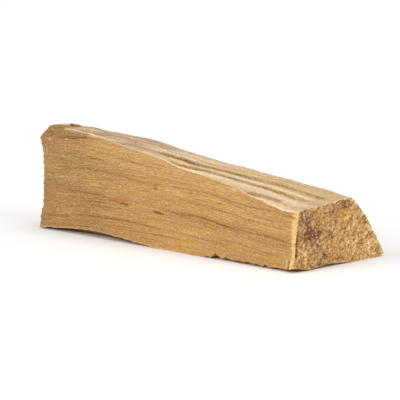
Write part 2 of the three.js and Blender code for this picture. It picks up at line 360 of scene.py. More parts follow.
def splinter_proud(x, height):
    """How far the splinter block stands out of the front face."""
    across = ease(from_splinter_edge(x, height), -SPLINTER["edge"], SPLINTER["edge"])
    under_top = 1 - ease(height, SPLINTER["top"] - SPLINTER["top_edge"], SPLINTER["top"])
    return SPLINTER["proud"] * across * under_top


def splinter_crack(x, height):
    """0 away from the crack in the splinter block, 1 in the middle of it."""
    crack = SPLINTER_CRACK
    off = np.abs(from_splinter_edge(x, height) - crack["from_edge"]) / crack["half_width"]
    return np.maximum(0, 1 - off) * (1 - ease(height, crack["top"] - crack["run_out"], crack["top"]))


print("the splinter block starts", round(THIN_END - SPLINTER["from"], 1), "mm before the thin end")

# %% The front face's shape
def front_side(x, t):
    """The front face, from its foot (t = 0) to its upper corner (t = 1)."""
    corners = corners_at(x)
    foot, top = corners["front_foot"], corners["front_top"]
    height = lerp(foot[1], top[1], t)
    across = height * (1 + FRONT_GRAIN_SPREAD * (x - THICK_END)) - FRONT_GRAIN_RISE(x)
    hollow = FRONT_HOLLOW(x) * (1 - np.abs(2 * t**FRONT_HOLLOW_SKEW - 1) ** FRONT_HOLLOW_FLATNESS)
    swell = grain_wave(FRONT_WAVE, x, height) * np.sin(np.pi * t)
    fine = fibres(FRONT_FIBRES, x, across) * away_from_rims(t, FRONT_RIM)
    crack = streaks_at([CRACK], x, height) + SPLINTER_CRACK["deep"] * splinter_crack(x, height)
    unbroken_top = top[0] - LIP["cut"] * lip_share(x, 1)
    straight = lerp(FRONT_FOOT_DEPTH(x), unbroken_top, t) + LIP["cut"] * lip_share(x, t)
    depth = straight + hollow + swell + fine + crack - ledge_steps(FRONT_LEDGES, x, t)
    return {"depth": depth - splinter_proud(x, height), "height": height, "across": across}


print("front face is", round(float(front_side(0.0, 1.0)["height"]), 1), "mm high at mid length")

# %% [markdown]
# ## The worn edge and the split top
#
# Between the front face and the top runs a narrow edge. Along most of the stick it is a thin pale line
# where the fibres were rubbed off, and at the thick end it widens into a slope of old brown surface.
#
# The top is where the wood was torn open. The fibres run slightly across it, so they come out of the
# front edge one after another, and whole strips are missing: those are the deep grooves. A groove has a
# gentle side towards the front and a steep one behind it, as a torn strip leaves. Towards the thin end
# a strip along the front edge tore out too, and lies lower than the rest.
#
# The grooves could be cut out of the top by a Boolean modifier, but that leaves ragged faces. Here a
# groove only pushes the points of the top down, so the skin stays one even grid.

# %% The worn edge
EDGE_DEPTH = along([[-50, 3.0], [-40, 2.4], [-31, 1.3], [-25, 0.5], [50, 0.4]])
EDGE_RISE = along([[-50, 2.4], [-42, 2.1], [-37, 1.65], [-31, 1.0], [-25, 0.2], [50, 0.15]])
EDGE_BULGE = along([[-50, 0.15], [-44, 0.2], [-36, 0]])
EDGE_UNDERCUT = {"deep": 0.3, "reach": 0.3, "from": -30.0, "to": -36.0, "end_gap": (1, 4)}
EDGE_STRETCH = 1.4  # the slope is this much longer than its depth, and so its lumps are stretched too
EDGE_LUMPY = (0.4, 2.0)  # the lumps appear where the edge widens from the first depth to the second
EDGE_OUT = (0.6, 0.8)  # forward and up: the direction straight out of the slope
OLD_SURFACE_LUMPS = [
    ripple(0.16, 1.3, 4.5, 1),
    ripple(0.08, 0.6, 1.6, 8),
]


def edge_top(x):
    """Where the worn edge ends and the split top starts."""
    depth, height = corners_at(x)["front_top"]
    return depth + EDGE_DEPTH(x), height + EDGE_RISE(x)


def edge_side(x, t):
    """The worn edge, from the front face's corner (t = 0) to the start of the top (t = 1)."""
    start = corners_at(x)["front_top"]
    end = edge_top(x)
    depth = lerp(start[0], end[0], t)
    lumps = fibres(OLD_SURFACE_LUMPS, x, depth * EDGE_STRETCH) * np.sin(np.pi * t)
    lumps = lumps * ease(EDGE_DEPTH(x), *EDGE_LUMPY)
    undercut = EDGE_UNDERCUT["deep"] * np.sin(np.pi * np.clip(t / EDGE_UNDERCUT["reach"], 0, 1))
    undercut = undercut * ease(x, EDGE_UNDERCUT["from"], EDGE_UNDERCUT["to"])
    undercut = undercut * ease(x - THICK_END, *EDGE_UNDERCUT["end_gap"])
    out = lumps + EDGE_BULGE(x) * np.sin(np.pi * t)
    return {
        "depth": depth - EDGE_OUT[0] * out + undercut,
        "height": lerp(start[1], end[1], t) + EDGE_OUT[1] * out,
        "across": depth * EDGE_STRETCH,
    }


print("width of the worn edge at the two ends, mm:", EDGE_DEPTH(THICK_END), EDGE_DEPTH(THIN_END))

# %% Grooves of the split top
def torn_groove(deep, half_width, path, stain_and_shade=1.0, stain_and_shade_from=THICK_END, run_out=RUN_OUT):
    """A groove that a torn strip left, and how brown its steep side is from which place on."""
    details = {"deep": deep, "half_width": half_width, "stain_and_shade": stain_and_shade, "stain_and_shade_from": stain_and_shade_from}
    return grain_line(path, run_out, **details)


SHORT_GROOVE_PATH = [[27.5, 1.8], [30, 2.3], [33, 3.0], [37.5, 3.9], [42, 4.8]]
LONG_GROOVE_PATH = [
    [-2, 1.8], [1, 2.2], [4, 2.8], [7, 3.8], [10, 4.5], [19, 5.5], [28, 6.6], [38, 8.4], [48, 10.9],
]
REAR_GROOVE = torn_groove(
    0.55, 1.3, [[-8, 4.6], [-4, 5.4], [4, 6.9], [11, 8.1], [22, 9.7], [38, 12.3], [50, 14.0]],
)
TOP_GROOVES = [
    torn_groove(0.5, 0.8, SHORT_GROOVE_PATH, stain_and_shade=1.3, stain_and_shade_from=28, run_out=2.5),
    torn_groove(0.55, 1.3, LONG_GROOVE_PATH),
    REAR_GROOVE,
    torn_groove(0.3, 0.6, [[-22, 1.5], [-14, 2.0], [-8, 3.0], [0, 4.6]], stain_and_shade=0),
    torn_groove(0.3, 0.6, [[-18, 5.2], [-4, 7.4], [10, 10.9]], stain_and_shade=0.2),
    torn_groove(0.25, 0.8, [[2, 10.0], [20, 12.9], [40, 16.2]], stain_and_shade=0.5),
    torn_groove(0.4, 2.2, [[-37, 4.6], [-20, 5.6], [-2, 8.8]], stain_and_shade=0.1),
]
GROOVE_WANDER = ripple(0.07, 50, 6, 4)
STEEP_SIDE = 0.35  # of a groove's half width
GENTLE_SIDE = 1.5


def groove_share(groove, x, depth):
    """0 outside a groove and 1 at its bottom."""
    off = (depth - groove["at"](x) + grain_wave(GROOVE_WANDER, x, 0)) / groove["half_width"]
    side = np.where(off > 0, off / STEEP_SIDE, -off / GENTLE_SIDE)
    return np.maximum(0, 1 - side) * present(groove, x)


print(len(TOP_GROOVES), "grooves, the longest", LONG_GROOVE_PATH[-1][0] - LONG_GROOVE_PATH[0][0], "mm long")

# %% Where the pale split starts
# It starts at a slanting step with a ragged edge. The old surface on its thick-end side is higher.
SPLIT_START = {"x": -42.2, "depth": 5.0, "slant": -0.2, "step": 0.3, "width": 0.8}
SPLIT_FRAY = ripple(1.1, 0.6, 2.4)
SPLIT_NOTCH = {"x": -43.2, "depth": 7.7, "half_long": 2.9, "half_wide": 1.7, "deep": 0.55}


def past_split_start(x, depth):
    """How far past the start of the split a point of the top is, less than zero on the old surface."""
    line = SPLIT_START["x"] + SPLIT_START["slant"] * (depth - SPLIT_START["depth"])
    return x - line + grain_wave(SPLIT_FRAY, x, depth)


def notch_share(x, depth):
    """0 outside the dark notch behind the chip and 1 at its bottom."""
    off_x = (x - SPLIT_NOTCH["x"]) / SPLIT_NOTCH["half_long"]
    off_depth = (depth - SPLIT_NOTCH["depth"]) / SPLIT_NOTCH["half_wide"]
    return np.maximum(0, 1 - off_x**2 - off_depth**2)


print("the split starts at", SPLIT_START["x"], "mm, and the notch lies at", SPLIT_NOTCH["x"], "mm")

# %% The split top's shape
# A strip along the top's front edge lies lower than the rest, where the outermost fibres tore out
TOP_STEP = along([[24, 0], [29, 0.3], [32, 0.7], [34, 0.7], [38, 0.35], [46, 0]])
TOP_STEP_WIDTH = 2.5
TOP_GRAIN_SLANT = 0.16  # how far the grain runs towards the back, for each millimetre along the stick
TOP_WAVE = ripple(0.16, 1.7, 26)
TOP_FIBRES = [
    ripple(0.13, 0.7, 13, 7),
    ripple(0.07, 0.32, 5, 3),
]
TOP_RIM = 0.04


def top_side(x, t):
    """The split top, from the worn edge (t = 0) to the rear corner (t = 1)."""
    start = edge_top(x)
    rear_top = corners_at(x)["rear_top"]
    depth = lerp(start[0], rear_top[0], t)
    across = depth - TOP_GRAIN_SLANT * x
    inside = away_from_rims(t, TOP_RIM)
    split = ease(past_split_start(x, depth), -SPLIT_START["width"] / 2, SPLIT_START["width"] / 2)
    grooves = sum(groove["deep"] * groove_share(groove, x, depth) for groove in TOP_GROOVES)
    notch = notch_share(x, depth)
    torn = fibres(TOP_FIBRES, x, across) * split + fibres(OLD_SURFACE_LUMPS, x, depth) * (1 - split)
    deep = grooves + SPLIT_NOTCH["deep"] * notch
    drop = grain_wave(TOP_WAVE, x, across) + deep + torn - SPLIT_START["step"] * (1 - split)
    step = TOP_STEP(x)
    lowered = step * (1 - ease(depth - start[0], 0, TOP_STEP_WIDTH))
    return {
        "depth": depth,
        "height": lerp(start[1] + step, rear_top[1], t) - lowered - drop * inside,
        "across": across,
        "split": split,
        "notch": notch,
    }


top_width = top_side(0.0, 1.0)["depth"] - top_side(0.0, 0.0)["depth"]
print("the top is", round(float(top_width), 1), "mm wide at mid length")

# %% [markdown]
# ## The colours of the worn edge and the top
#
# Colours go into the mesh as measures: a number at each corner of each face, which says how much of one
# finish shows there, and which the material reads by name. A measure stays where it is put, whatever the
# view, and it needs no image. An image could hold the same, but it would have to be painted and unwrapped.
#
# The narrow edge is rubbed pale, and golden for a short way. The wide slope at the thick end is old brown
# wood, with two painted shadows: one along its middle, under the pale edge of the top, and one under its
# lip. The top is pale split wood with brown grooves, whose brown is partly darker torn wood and partly
# painted shade. Some of its strips are bleached, some are warmer, and it turns amber at the back of the
# thin end. Lines that follow the grain place all of these, as they place the grooves. The notch and the
# edge of the chip are painted dark as shade, and the rim over the thin end has a painted highlight.

# %% The measures of the worn edge
# The pale line where the fibres were rubbed off, on the narrow edge and on the rim of the top behind it
RUBBED_STARTS = (-42.8, -40.8)
RUBBED_WIDTH = along([[-42, 0.5], [-39, 1.1], [-30, 0.9], [-12, 0.7], [8, 0.9], [24, 0.5], [50, 0.5]])
RUBBED_STRENGTH = along([
    [-28, 1.0], [-22, 0.5], [-9, 0.45], [0, 0.8], [6, 1.0], [13, 1.0], [21, 0.25], [34, 0.25], [41, 0.8],
    [50, 0.9],
])
GOLDEN_EDGE = along([[22, 0], [28, 0.75], [36, 0.75], [41, 0]])  # here the narrow edge is golden, not pale

# Where along the stick the marks of the wide part begin and end, each from nothing to its full strength
EDGE_WIDENS = (-24, -30)
OLD_STARTS = (-22, -32)
# The two dark marks of the wide part are painted shadow: one under its lip, and one along its middle, under
# the pale edge of the top
EDGE_SHADOW = {"starts": (-28, -31), "stops": (-44, -41)}
SHADOW_UNDER_PALE_EDGE = {"starts": (-26, -30), "stops": (-46, -42)}
SHADOW_UNDER_PALE_EDGE_FORM = {"strength": 0.6, "middle": 0.55, "half_width": 0.13}  # in shares of the edge's width
EDGE_RUBBED_FROM = 0.8  # on the wide part, only the last share of its width is rubbed
OLD_FRAY_STRETCH = 2  # how much narrower the frayed start of the old wood is here than on the top


def edge_marks(x, t):
    """The measures of the worn edge: rubbed and golden where it is narrow, and old wood where it is wide,
    with a painted shadow along its middle, under the pale edge of the top, and a painted shadow under its
    lip."""
    depth = edge_side(x, t)["depth"]
    wide_part = ease(x, *EDGE_WIDENS)
    rubbed = ease(t, EDGE_RUBBED_FROM, 1) * ease(x, *RUBBED_STARTS)
    # Painted shadow under the lip, and painted shadow along the middle of the slope
    shadow = ease(t, EDGE_UNDERCUT["reach"], 0) * ease(x, *EDGE_SHADOW["starts"])
    off = (t - SHADOW_UNDER_PALE_EDGE_FORM["middle"]) / SHADOW_UNDER_PALE_EDGE_FORM["half_width"]
    shadow_under_pale_edge = SHADOW_UNDER_PALE_EDGE_FORM["strength"] * np.exp(-off * off) * ease(x, *SHADOW_UNDER_PALE_EDGE["starts"])
    return {
        "old": ease(x + grain_wave(SPLIT_FRAY, x, depth * OLD_FRAY_STRETCH), *OLD_STARTS),
        "split": (1 - wide_part) * (1 - GOLDEN_EDGE(x)),
        "rubbed": lerp(1, rubbed, wide_part) * RUBBED_STRENGTH(x),
        "brown": shadow * ease(x, *EDGE_SHADOW["stops"]) + shadow_under_pale_edge * ease(x, *SHADOW_UNDER_PALE_EDGE["stops"]),
    }


print("the worn edge has the measures", ", ".join(edge_marks(0.0, 0.5)))

# %% Lines of colour on the split top
# Strips that the light has bleached
PALE_STRIPS = [
    streak(1.1, 0.85, [[3, 1.7], [10, 2.1], [15, 2.6], [21, 3.5], [27, 4.3], [36, 5.5], [50, 7.8]]),
    streak(0.5, 0.9, [[34, 1.7], [39, 2.0], [46, 2.6], [54, 2.8]]),
    streak(0.9, 0.9, [
        [-3, 3.4], [3, 4.6], [9, 6.0], [16, 7.0], [22.5, 7.8], [29, 8.7], [36, 10.0], [48, 12.3],
    ]),
    streak(0.6, 0.9, [
        [-25, 1.0], [-21, 2.1], [-19, 3.2], [-16, 5.0], [-12, 6.4], [-8, 7.3], [-3, 8.0], [7, 9.9],
        [16, 11.4], [31, 13.6], [44, 15.4],
    ], run_out=3),
    streak(0.9, 0.6, [[-8, 9.4], [-1, 11.0], [4, 11.8], [12, 13.4], [22, 15.0]]),
    streak(0.7, 0.7, [[-42, 5.4], [-37, 6.4], [-30, 7.6]], run_out=3),
]

# Strips of warmer wood: one between the two longest grooves, and one in front of the shortest
PEACH_STRIPS = [
    streak(0.8, 0.9, [[-8, 3.2], [0, 4.0], [6, 5.0], [12, 6.1], [22, 7.4], [36, 9.6], [48, 12.0]]),
    streak(0.6, 0.9, [[31, 1.9], [36, 2.2], [40, 2.6], [46, 3.4]], run_out=4),
]

# Brown streaks that look like grooves but have none, a spot of dark brown beside the longest groove, and a
# painted shadow along the edge of the chip
TOP_STREAKS = [
    streak(0.55, 1.0, [[-18, 1.8], [-15.8, 2.5], [-13.6, 3.3], [-10.8, 4.2], [-8, 4.9]], run_out=2),
    streak(0.4, 0.8, [[-6, 5.6], [-2.8, 6.0], [0, 6.6]], run_out=2),
    streak(0.6, 0.5, [[-22, 10.0], [-17.5, 11.1], [-13, 11.8]], run_out=2),
]
TOP_SPOT_AND_CHIP_SHADOW = [
    streak(0.35, 0.7, [[0, 6.5], [3.6, 7.1], [7, 7.8]], run_out=2),
    # A painted shadow along the edge of the chip
    streak(0.6, 1.2, [[-45.6, 8.4], [-44.4, 7.3], [-43.0, 5.9], [-42.2, 4.8]], run_out=0.4),
]
print(len(PALE_STRIPS), "bleached strips,", len(PEACH_STRIPS), "warmer,", len(TOP_STREAKS), "brown streaks")

# %% Groove stains with painted shade, and the chip's pale face
# The brown of a groove is partly darker torn wood and partly painted shade on its steep side.
STAIN_AND_SHADE_WIDTH = 0.34  # a groove is brown over this width to both sides of its steep side
STAIN_AND_SHADE_SHIFT = 0.25  # and the brown lies this far behind the groove's deepest line
STAIN_AND_SHADE_STRENGTH = along([[-50, 1], [20, 1], [36, 0.95], [50, 0.85]])

# The chip's pale face: it ends in a slanting line, and its front edge is as ragged as the old surface's
CHIP_FRONT = along([[-50, 7.6], [-49, 6.6], [-48, 5.8], [-47, 6.1], [-46, 5.7], [-44.5, 6.1], [-43, 5.8]])
CHIP_END = {"slant": -0.93, "depth": 8.0}
CHIP_EDGE = 0.6


def groove_stain_and_shade(groove, x, depth):
    """How brown a groove is painted, partly as darker torn wood and partly as painted shade: strongest at
    its steep side, fading to both sides.
    """
    off = (depth - groove["at"](x) - STAIN_AND_SHADE_SHIFT + grain_wave(GROOVE_WANDER, x, 0)) / STAIN_AND_SHADE_WIDTH
    darkened = ease(x, groove["stain_and_shade_from"], groove["stain_and_shade_from"] + RUN_OUT)
    return groove["stain_and_shade"] * STAIN_AND_SHADE_STRENGTH(x) * np.exp(-off * off) * present(groove, x) * darkened


def chip_face(x, depth):
    """How far a point of the top lies on the chip's pale face, from 0 to 1."""
    front = CHIP_FRONT(x) + grain_wave(SPLIT_FRAY, x, depth) / 2
    end = CHIP["to"] + CHIP_END["slant"] * (depth - CHIP_END["depth"])
    within = ease(x, CHIP["from"], CHIP["from"] + CHIP["slope"]) * ease(x, end, end - CHIP_EDGE)
    return within * ease(depth, front, front + CHIP_EDGE)


print("the chip's pale face starts", CHIP_FRONT(THICK_END), "mm behind the front foot at the thick end")

# %% The measures of the split top
# A painted highlight along the rim of the top over the thin end, kept in the rubbed measure
RIM_HIGHLIGHT = {"strength": 0.6, "width": 1.2}  # the pale rim over the thin end
AMBER_STARTS = (-10, 42)  # behind the rear groove the top turns amber, more and more towards the thin end
AMBER_BEHIND = 1.5
# The notch is painted dark, as painted shade behind the chip.
NOTCH_SHARPNESS = 3
NOTCH_DARKNESS = (0.8, 0.45)  # of the notch, on the two sides of the place where it meets the split
NOTCH_FADES = (-44, -41)


def top_marks(x, t):
    """The measures of the top: what is old and what is split, its grooves, whose brown is partly stain and
    partly painted shade, its brown spot, the painted shade in the notch and along the edge of the chip, its
    bleached, warmer and amber strips, and what was rubbed pale, with a painted highlight on the rim over
    the thin end."""
    shape = top_side(x, t)
    depth = shape["depth"]
    chip = chip_face(x, depth)
    split = np.maximum(shape["split"], chip)
    stains_and_shade = sum(groove_stain_and_shade(groove, x, depth) for groove in TOP_GROOVES)
    # Painted shade in the notch behind the chip
    notch = np.clip(shape["notch"] * NOTCH_SHARPNESS, 0, 1) * lerp(*NOTCH_DARKNESS, ease(x, *NOTCH_FADES))
    rubbed = ease(depth - edge_top(x)[0], RUBBED_WIDTH(x), 0) * ease(x, *RUBBED_STARTS) * RUBBED_STRENGTH(x)
    # Painted highlight along the rim over the thin end
    rim = RIM_HIGHLIGHT["strength"] * ease(x, THIN_END - RIM_HIGHLIGHT["width"], THIN_END)
    return {
        "split": split,
        "old": 1 - split,
        "groove": np.clip(stains_and_shade + streaks_at(TOP_STREAKS, x, depth), 0, 1),
        "pale": np.clip(chip + streaks_at(PALE_STRIPS, x, depth), 0, 1),
        "brown": np.clip(notch * (1 - chip) + streaks_at(TOP_SPOT_AND_CHIP_SHADOW, x, depth), 0, 1),
        "warm": streaks_at(PEACH_STRIPS, x, depth),
        "dull": ease(x, *AMBER_STARTS) * ease(depth - REAR_GROOVE["at"](x), 0, AMBER_BEHIND),
        "rubbed": np.maximum(np.maximum(rubbed, chip), rim),
    }


print("the split top has the measures", ", ".join(top_marks(0.0, 0.5)))

# %% [markdown]
# ## The back and the bottom
#
# The photograph doesn't show these two, so they are made as such wood usually is: the back is split wood
# with bolder ledges, brown streaks and warm bands, and the bottom is nearly flat, because the stick lies
# on it. It only arches up a little under the thin end.

# %% The back
BACK_BULGE = along([[-50, 0.5], [-15, 0.9], [20, 0.3], [50, 1.0]])
BACK_BULGE_SKEW = 0.55
BACK_LEDGES = [
    ledge(1.0, [[-60, 0.72], [-10, 0.62], [36, 0.74]]),
    ledge(0.8, [[-26, 0.3], [8, 0.36], [36, 0.42], [50, 0.45]], sharpness=0.2),
]
BACK_WAVE = ripple(0.42, 3.4, 24)
BACK_FIBRES = [
    ripple(0.12, 1.1, 15, 4),
    ripple(0.06, 0.5, 6, 5),
]
BACK_RIM = 0.03
BACK_FOOT_RIM = 0.1


def back_side(x, t):
    """The back face, from the rear corner (t = 0) down to its foot (t = 1)."""
    corners = corners_at(x)
    top, foot = corners["rear_top"], corners["rear_foot"]
    height = lerp(top[1], foot[1], t)
    bulge = BACK_BULGE(x) * np.sin(np.pi * t**BACK_BULGE_SKEW)
    swell = (grain_wave(BACK_WAVE, x, height) + ledge_steps(BACK_LEDGES, x, 1 - t)) * np.sin(np.pi * t)
    fine = fibres(BACK_FIBRES, x, height) * ease(t, 0, BACK_RIM) * (1 - ease(t, 1 - BACK_FOOT_RIM, 1))
    return {"depth": lerp(top[0], foot[0], t) + bulge + swell + fine, "height": height, "across": height}


print("the back's bulge at mid length:", round(float(BACK_BULGE(0.0)), 1), "mm")

# %% The measures of the back
BACK_STREAKS = [
    streak(0.35, 0.8, [[-60, 18.6], [-30, 16.6], [-8, 14.4], [20, 13.2], [40, 12.0]]),
    streak(0.25, 0.6, [[-48, 12.2], [-20, 11.0], [6, 10.6], [30, 9.6]]),
    streak(0.3, 0.7, [[-24, 7.8], [8, 7.4], [34, 6.8], [60, 6.2]]),
    streak(0.25, 0.5, [[-52, 4.4], [-26, 4.8], [4, 3.6]]),
]
BACK_BANDS = [
    streak(1.8, 0.8, [[-56, 20.5], [-20, 18.6], [16, 15.4]]),
    streak(1.4, 0.7, [[-10, 5.4], [24, 5.0], [58, 4.2]]),
]


def back_marks(x, t):
    """The measures of the back: brown streaks and warm bands that follow its ledges, and the pale chip."""
    height = back_side(x, t)["height"]
    below_corner = corners_at(x)["rear_top"][1] - height + grain_wave(SPLIT_FRAY, x, height)
    return {
        "brown": np.clip(streaks_at(BACK_STREAKS, x, height), 0, 1),
        "warm": np.clip(streaks_at(BACK_BANDS, x, height), 0, 1),
        "rubbed": chip_share(x) * ease(below_corner, *CHIP["down_the_back"]),
    }


print("the back has the measures", ", ".join(back_marks(0.0, 0.5)))

# %% The bottom
# Its two long edges lift off the ground over these widths
FRONT_FOOT_WIDTH = 4.5
REAR_FOOT_WIDTH = 2.5
BOTTOM_FIBRES = [ripple(0.05, 0.9, 12, 9)]

# Under the thin end the bottom doesn't quite touch. The hollow's middle is counted from the front foot.
THIN_END_HOLLOW = {"deep": 0.65, "from_front": 10.0, "half_width": 6.0, "from": 22.0}


def bottom_side(x, t):
    """The bottom, from the rear foot (t = 0) to the front foot (t = 1)."""
    corners = corners_at(x)
    rear, front = corners["rear_foot"], corners["front_foot"]
    width = rear[0] - front[0]
    from_rear = t * width
    rear_lift = rear[1] * (1 - ease(from_rear, 0, REAR_FOOT_WIDTH))
    front_lift = front[1] * ease(from_rear, width - FRONT_FOOT_WIDTH, width)
    inside = np.sin(np.pi * t)
    fine = np.maximum(fibres(BOTTOM_FIBRES, x, from_rear), 0) * inside
    depth = rear[0] - from_rear
    off = (depth - THIN_END_HOLLOW["from_front"]) / THIN_END_HOLLOW["half_width"]
    hollow = THIN_END_HOLLOW["deep"] * np.exp(-off * off) * ease(x, THIN_END_HOLLOW["from"], THIN_END)
    height = rear_lift + front_lift + fine + hollow * inside
    return {"depth": depth, "height": height, "across": from_rear}


bottom_width = bottom_side(0.0, 0.0)["depth"] - bottom_side(0.0, 1.0)["depth"]
print("the bottom is", round(float(bottom_width), 1), "mm wide at mid length")

# %% [markdown]
# ## The marks on the front face
#
# Wood of this kind has brown resin streaks, a few warm bands, and some dark and light flecks. This face is
# also painted a little lighter under its upper corner, as painted light, and darker above its foot. One
# dark line, under the overhanging slope at the thick end, is a painted shadow. They are colour, not shape,
# so they become measures too.

# %% Streaks, warm bands and flecks
BROWN_STREAKS_AND_BEVEL_SHADOW = [
    streak(0.26, 1.1, CRACK_PATH, run_out=1.2),
    streak(0.25, 0.9, [[-16, 9.9], [-14.4, 9.8], [-12.4, 9.4]], run_out=1.0),
    streak(0.2, 0.8, [[-31, 20.9], [-27.5, 20.5], [-22, 20.0]], run_out=2.0),
    streak(0.18, 0.7, [[-38, 20.4], [-34, 20.2], [-31, 19.7]], run_out=2.0),
    streak(0.3, 0.6, [[-2, 10.0], [6, 9.6], [16, 9.5], [23, 8.6], [27, 8.0], [44, 7.2], [53, 6.0]]),
    streak(0.2, 0.4, [[12, 9.6], [19.8, 9.2], [23.2, 8.6], [31, 7.7]]),
    # A painted shadow under the overhanging old surface of the thick end
    streak(0.3, 1.0, [[-45, 24.5], [-41, 24.85], [-35, 25.1], [-30, 25.6], [-24, 25.9]]),
    streak(0.22, 0.65, [[-46, 16.9], [-34, 17.4], [-25, 17.3], [-17, 16.8], [-6, 15.9], [4, 15.9]]),
    streak(0.22, 0.6, [[0, 16.0], [10, 15.8], [20, 15.5], [30, 14.1], [38, 13.6], [53, 12.3]]),
    streak(0.2, 0.5, [[4, 13.4], [13, 12.7], [19, 12.3], [31, 10.9], [38, 10.3], [49, 9.6]]),
    streak(0.2, 0.5, [[20, 15.1], [31.6, 12.8], [36.4, 11.7], [46, 10.7]]),
    streak(0.22, 0.7, [[-20, 21.3], [-12.4, 20.9], [-8.9, 20.4], [0, 19.7]]),
    streak(0.2, 0.5, [[-32, 22.8], [-23.7, 22.1], [-15, 21.4]]),
    streak(0.18, 0.4, [[-53, 14.8], [-38.6, 15.4], [-27, 15.3]]),
    streak(0.25, 0.8, [[-60, 3.6], [-49.3, 3.7], [-33, 5.2], [-23.8, 5.5], [-11.8, 5.6], [4, 4.7]]),
    streak(0.22, 0.6, [[-46, 11.3], [-34, 11.3], [-24, 11.0], [-17.6, 10.0], [-11, 9.4]]),
    streak(0.18, 0.5, [[1, 5.1], [11.7, 4.6], [19, 4.2], [30, 3.7]]),
    streak(0.18, 0.5, [[21, 5.6], [32.4, 4.5], [39.5, 3.7], [47, 3.0]]),
    streak(0.17, 0.4, [[-34, 8.0], [-16, 8.3], [0, 7.2], [16, 6.9]]),
]
WARM_BANDS = [
    streak(1.1, 0.8, [[4, 9.4], [23.3, 8.1], [34.6, 7.1], [42.8, 6.6], [53, 5.8]]),
    streak(2.0, 0.6, [[-54, 9.9], [-42, 10.6], [-33.7, 10.2], [-10, 10.2]]),
    streak(1.4, 0.4, [[-22, 16.4], [-2, 17.4], [22, 14.0]]),
    streak(0.8, 0.4, [[-56, 24.6], [-48, 24.0], [-36, 23.9]]),
]

# Flecks, each as place, height and half its height
DARK_FLECKS = [(-2.4, 15.0, 0.32), (-42.6, 7.2, 0.3), (11.6, 15.0, 0.3), (22.3, 13.4, 0.3)]
LIGHT_FLECKS = [
    (-45.8, 24.1, 0.3), (-38.3, 24.7, 0.22), (-40.7, 19.9, 0.2), (-28.2, 23.1, 0.2), (-25.8, 22.7, 0.2),
    (27.8, 17.3, 0.35),
]
print(len(BROWN_STREAKS_AND_BEVEL_SHADOW), "brown streaks,", len(WARM_BANDS), "warm bands,", len(DARK_FLECKS), "dark flecks")

# %% The measures of the front face
# The face is painted lighter near its upper corner, as painted light, and darker near its foot. Each grows
# to full strength between two distances from that corner, and its curve says where along the stick it
# shows.
PAINTED_LIGHT_REACH = (8.0, 3.5)
PAINTED_LIGHT_UNDER_CORNER = along([[-34, 0], [-20, 0.7], [-13, 1.0], [6, 0.9], [18, 0.6], [34, 0.6], [46, 0]])
DARKER_FOOT_REACH = (11.0, 5.0)
DARKER_FOOT = along([[-50, 0.8], [-30, 1.0], [-18, 0.9], [0, 0.5], [12, 0], [30, 0.3]])
RUBBED_FOOT = {"high": 0.35, "strength": 0.7, "fades": (14.0, 4.0)}  # the pale rubbed line along the foot
SPLINTER_CRACK_DARKNESS = 1.3
FLECK_LENGTH = 2  # a fleck is this many times as long as it is high


def flecks_at(flecks, x, height):
    """0 off the flecks and 1 in the middle of one."""
    total = 0
    for place, up, radius in flecks:
        total = total + np.exp(-(((x - place) / FLECK_LENGTH) ** 2 + (height - up) ** 2) / radius**2)
    return total


def front_marks(x, t):
    """The measures that only the front face has."""
    height = front_side(x, t)["height"]
    corners = corners_at(x)
    over_foot = height - corners["front_foot"][1]
    under_top = corners["front_top"][1] - height
    broken = lip_paleness(x, t) + splinter_proud(x, height) / SPLINTER["proud"]
    brown = streaks_at(BROWN_STREAKS_AND_BEVEL_SHADOW, x, height) + flecks_at(DARK_FLECKS, x, height)
    rubbed = RUBBED_FOOT["strength"] * ease(over_foot, RUBBED_FOOT["high"], 0)
    return {
        "brown": np.clip(brown + SPLINTER_CRACK_DARKNESS * splinter_crack(x, height), 0, 1),
        "warm": np.clip(streaks_at(WARM_BANDS, x, height), 0, 1),
        # Painted light: the face is painted lighter under its upper corner
        "faded": PAINTED_LIGHT_UNDER_CORNER(x) * ease(under_top, *PAINTED_LIGHT_REACH),
        "dull": DARKER_FOOT(x) * ease(over_foot, *DARKER_FOOT_REACH),
        "rubbed": rubbed * ease(x, *RUBBED_FOOT["fades"]),
        "fresh": np.clip(broken + flecks_at(LIGHT_FLECKS, x, height), 0, 1),
    }


print("the front face has the measures", ", ".join(front_marks(0.0, 0.5)))

# %% [markdown]
# ## The sawn ends
#
# A coarse saw leaves an end full of cut and torn fibres: small pits and strokes that lean with the blade.
# They are real relief here, pressed into the end by up to four tenths of a millimetre, and their depth is
# kept as a measure, because the pits look dark and the standing fibre ends look light: the deepest pits are
# painted darker, as painted shade, and the least torn fibre ends lighter, as a painted highlight. At the
# thick end the single teeth left marks that are as deep again. Patches of resin, of golden sap and of
# bleached wood go into measures too, and the material adds the dots of single cut fibres.
#
# The rim of each end is shared by the end and by the long sides, so both must move by the same amount.
# The long sides therefore bend over the last millimetre and a half to meet the torn rim.

# %% The saw's relief
STROKE_LEAN = math.radians(55)
SAW_STROKES = [
    ripple(0.16, 0.42, 0.66, 3),
    ripple(0.12, 0.38, 0.40, 7),
]
SAW_PITS = [ripple(0.09, 0.8, 0.8, 5)]

# The marks of single teeth, at the thick end only. They fade in above the foot and out below their top.
SCALLOPS = {"deep": 0.4, "pitch": 1.75, "lean": 0.12, "fade_in": 1.5, "top": 24.0, "fade_out": 2.0}
SCALLOP_WANDER = ripple(0.3, 4, 4, 2)
TEAR_MEAN = 0.17
TEAR_DEEPEST = 0.42
RIM_SHARE = 0.7  # the rim is torn less deeply than the middle
RIM_WIDTH = 1.6  # over this length the long sides bend to meet the torn rim


